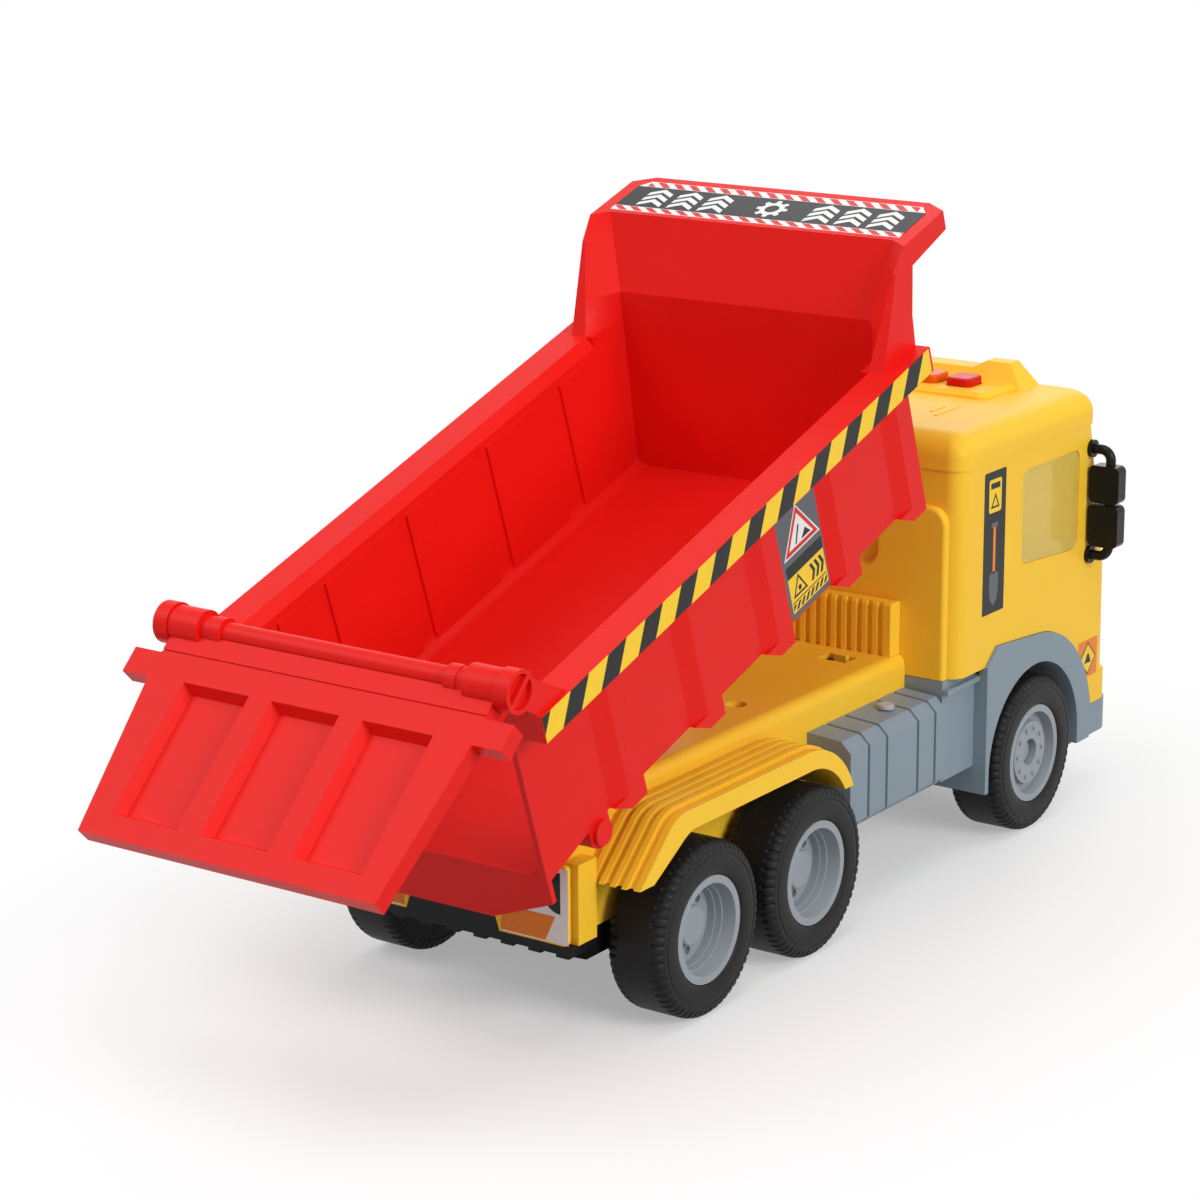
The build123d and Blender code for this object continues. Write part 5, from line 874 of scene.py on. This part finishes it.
@dataclass
class Studio:
    """Plain pale floor, soft lamps and the camera."""

    camera_at: Vector = field(default_factory=lambda: Vector((-0.939297, -0.642244, 0.426588)))
    yaw: float = radians(35.34978)
    pitch: float = radians(15.22833)
    roll: float = radians(-0.39444)
    lens: float = 102.31
    sensor: float = 36.0
    floor_half: float = 8.0
    ambient: float = 0.36
    shadow_share: float = 0.65
    bounce: float = 0.45
    fade_start: float = 0.17
    fade_width: float = 0.22
    fade_stretch: tuple = (1.0, 1.7, 1.0)
    lamps: tuple = (
        ("key_lamp", (-0.4, -2.2, 1.2), 1.2, 35.0),
        ("rear_lamp", (-1.2, 1.25, 1.6), 1.2, 15.0),
        ("top_lamp", (-0.6, -0.3, 2.3), 1.4, 15.0),
        ("front_lamp", (2.0, 0.8, 1.2), 1.4, 8.0),
    )

    def camera(self) -> bpy.types.Object:
        """The camera, turned by yaw, pitch and roll in that order."""
        level = cos(self.pitch)
        ahead = Vector((cos(self.yaw) * level, sin(self.yaw) * level, -sin(self.pitch)))
        right = Vector((sin(self.yaw), -cos(self.yaw), 0.0))
        above = right.cross(ahead)
        turned_right = right * cos(self.roll) + above * sin(self.roll)
        turned_up = above * cos(self.roll) - right * sin(self.roll)
        data = bpy.data.cameras.new("camera")
        data.lens = self.lens
        data.sensor_width = self.sensor
        data.clip_end = 50.0
        camera = bpy.data.objects.new("camera", data)
        axes = Matrix((turned_right, turned_up, -ahead)).transposed().to_4x4()
        camera.matrix_world = Matrix.Translation(self.camera_at) @ axes
        bpy.context.scene.collection.objects.link(camera)
        bpy.context.scene.camera = camera
        return camera

    def lamp(self, name: str, place: Colour, size: float, power: float, aim: Colour = (0, 0, 0.1)) -> None:
        """A soft square lamp that faces a point near the truck."""
        data = bpy.data.lights.new(name, "AREA")
        data.size = size
        data.energy = power
        lamp = bpy.data.objects.new(name, data)
        lamp.location = place
        lamp.rotation_euler = (Vector(aim) - Vector(place)).to_track_quat("-Z", "Y").to_euler()
        bpy.context.scene.collection.objects.link(lamp)

    def floor(self) -> None:
        """A pale matt floor that takes the truck's shadow and goes over to plain white further out."""
        half = self.floor_half
        points = np.array(
            [(-half, -half, 0), (half, -half, 0), (half, half, 0), (-half, half, 0)])
        piece = mesh_piece("studio_floor", points, [(0, 1, 2, 3)])
        recipe = Recipe("studio_floor")
        paper = recipe.noise(3.0, 2.0)
        rays = recipe.node("ShaderNodeLightPath", {}, {})
        camera, glossy, through = (
            Value(recipe, rays.outputs[f"Is {kind} Ray"]) for kind in ("Camera", "Glossy", "Transmission"))
        seen = camera + glossy + through
        pale = recipe.mix(paper, (0.93, 0.93, 0.93), (0.97, 0.97, 0.97))
        base = recipe.mix(seen, (self.bounce,) * 3, pale)
        reach = recipe.node(
            "ShaderNodeVectorMath", {"operation": "LENGTH"}, {0: recipe.place(self.fade_stretch)})
        far_out = Value(recipe, reach.outputs["Value"]).above(self.fade_start, self.fade_width)
        plain = far_out * self.shadow_share + (1 - self.shadow_share)
        white = recipe.node("ShaderNodeEmission", {}, {"Color": (1, 1, 1, 1), "Strength": 1.0})
        blend = recipe.node(
            "ShaderNodeMixShader", {},
            {0: plain * seen, 1: recipe.shader.outputs[0], 2: white.outputs[0]})
        recipe.feed(recipe.output.inputs["Surface"], blend.outputs[0])
        piece.data.materials.append(recipe.finish(Base_Color=base, Roughness=0.9 + paper * 0.05))

    def world(self) -> None:
        """White for what sees it directly, and an even soft light for the rest."""
        world = bpy.data.worlds.new("studio")
        world.use_nodes = True
        bpy.context.scene.world = world
        tree = world.node_tree
        tree.nodes.clear()
        output = tree.nodes.new("ShaderNodeOutputWorld")
        shown, soft = tree.nodes.new("ShaderNodeBackground"), tree.nodes.new("ShaderNodeBackground")
        shown.inputs["Color"].default_value = (1, 1, 1, 1)
        soft.inputs["Color"].default_value = (1, 1, 1, 1)
        soft.inputs["Strength"].default_value = self.ambient
        rays = tree.nodes.new("ShaderNodeLightPath")
        first, second = tree.nodes.new("ShaderNodeMath"), tree.nodes.new("ShaderNodeMath")
        first.operation = second.operation = "MAXIMUM"
        blend = tree.nodes.new("ShaderNodeMixShader")
        tree.links.new(rays.outputs["Is Camera Ray"], first.inputs[0])
        tree.links.new(rays.outputs["Is Glossy Ray"], first.inputs[1])
        tree.links.new(first.outputs[0], second.inputs[0])
        tree.links.new(rays.outputs["Is Transmission Ray"], second.inputs[1])
        tree.links.new(second.outputs[0], blend.inputs[0])
        tree.links.new(soft.outputs[0], blend.inputs[1])
        tree.links.new(shown.outputs[0], blend.inputs[2])
        tree.links.new(blend.outputs[0], output.inputs["Surface"])

    def make(self) -> None:
        """Sets up the whole studio."""
        self.camera()
        self.floor()
        self.world()
        for name, place, size, power in self.lamps:
            self.lamp(name, place, size, power)
        bpy.context.scene.view_settings.view_transform = "Standard"


# ---- the truck ---------------------------------------------------------------------------------


def main() -> None:
    """Dresses the CAD nodes, adds the pieces and sets up the studio."""
    logging.basicConfig(level=logging.INFO, format="%(message)s")
    shop = PaintShop()
    shop.dress_nodes(frame["nodes"])
    for axle in ("rear", "middle", "front"):
        for side_name, side in SIDES:
            Tyre(f"tyre_{axle}_{side_name}", f"{axle}_wheels", side, f"rim_{axle}_{side_name}").make(shop)
    BucketLabels().make(shop)
    CabLabels().make(shop)
    RearLabels().make(shop)
    Studio().make()


if __name__ == "__main__":
    main()
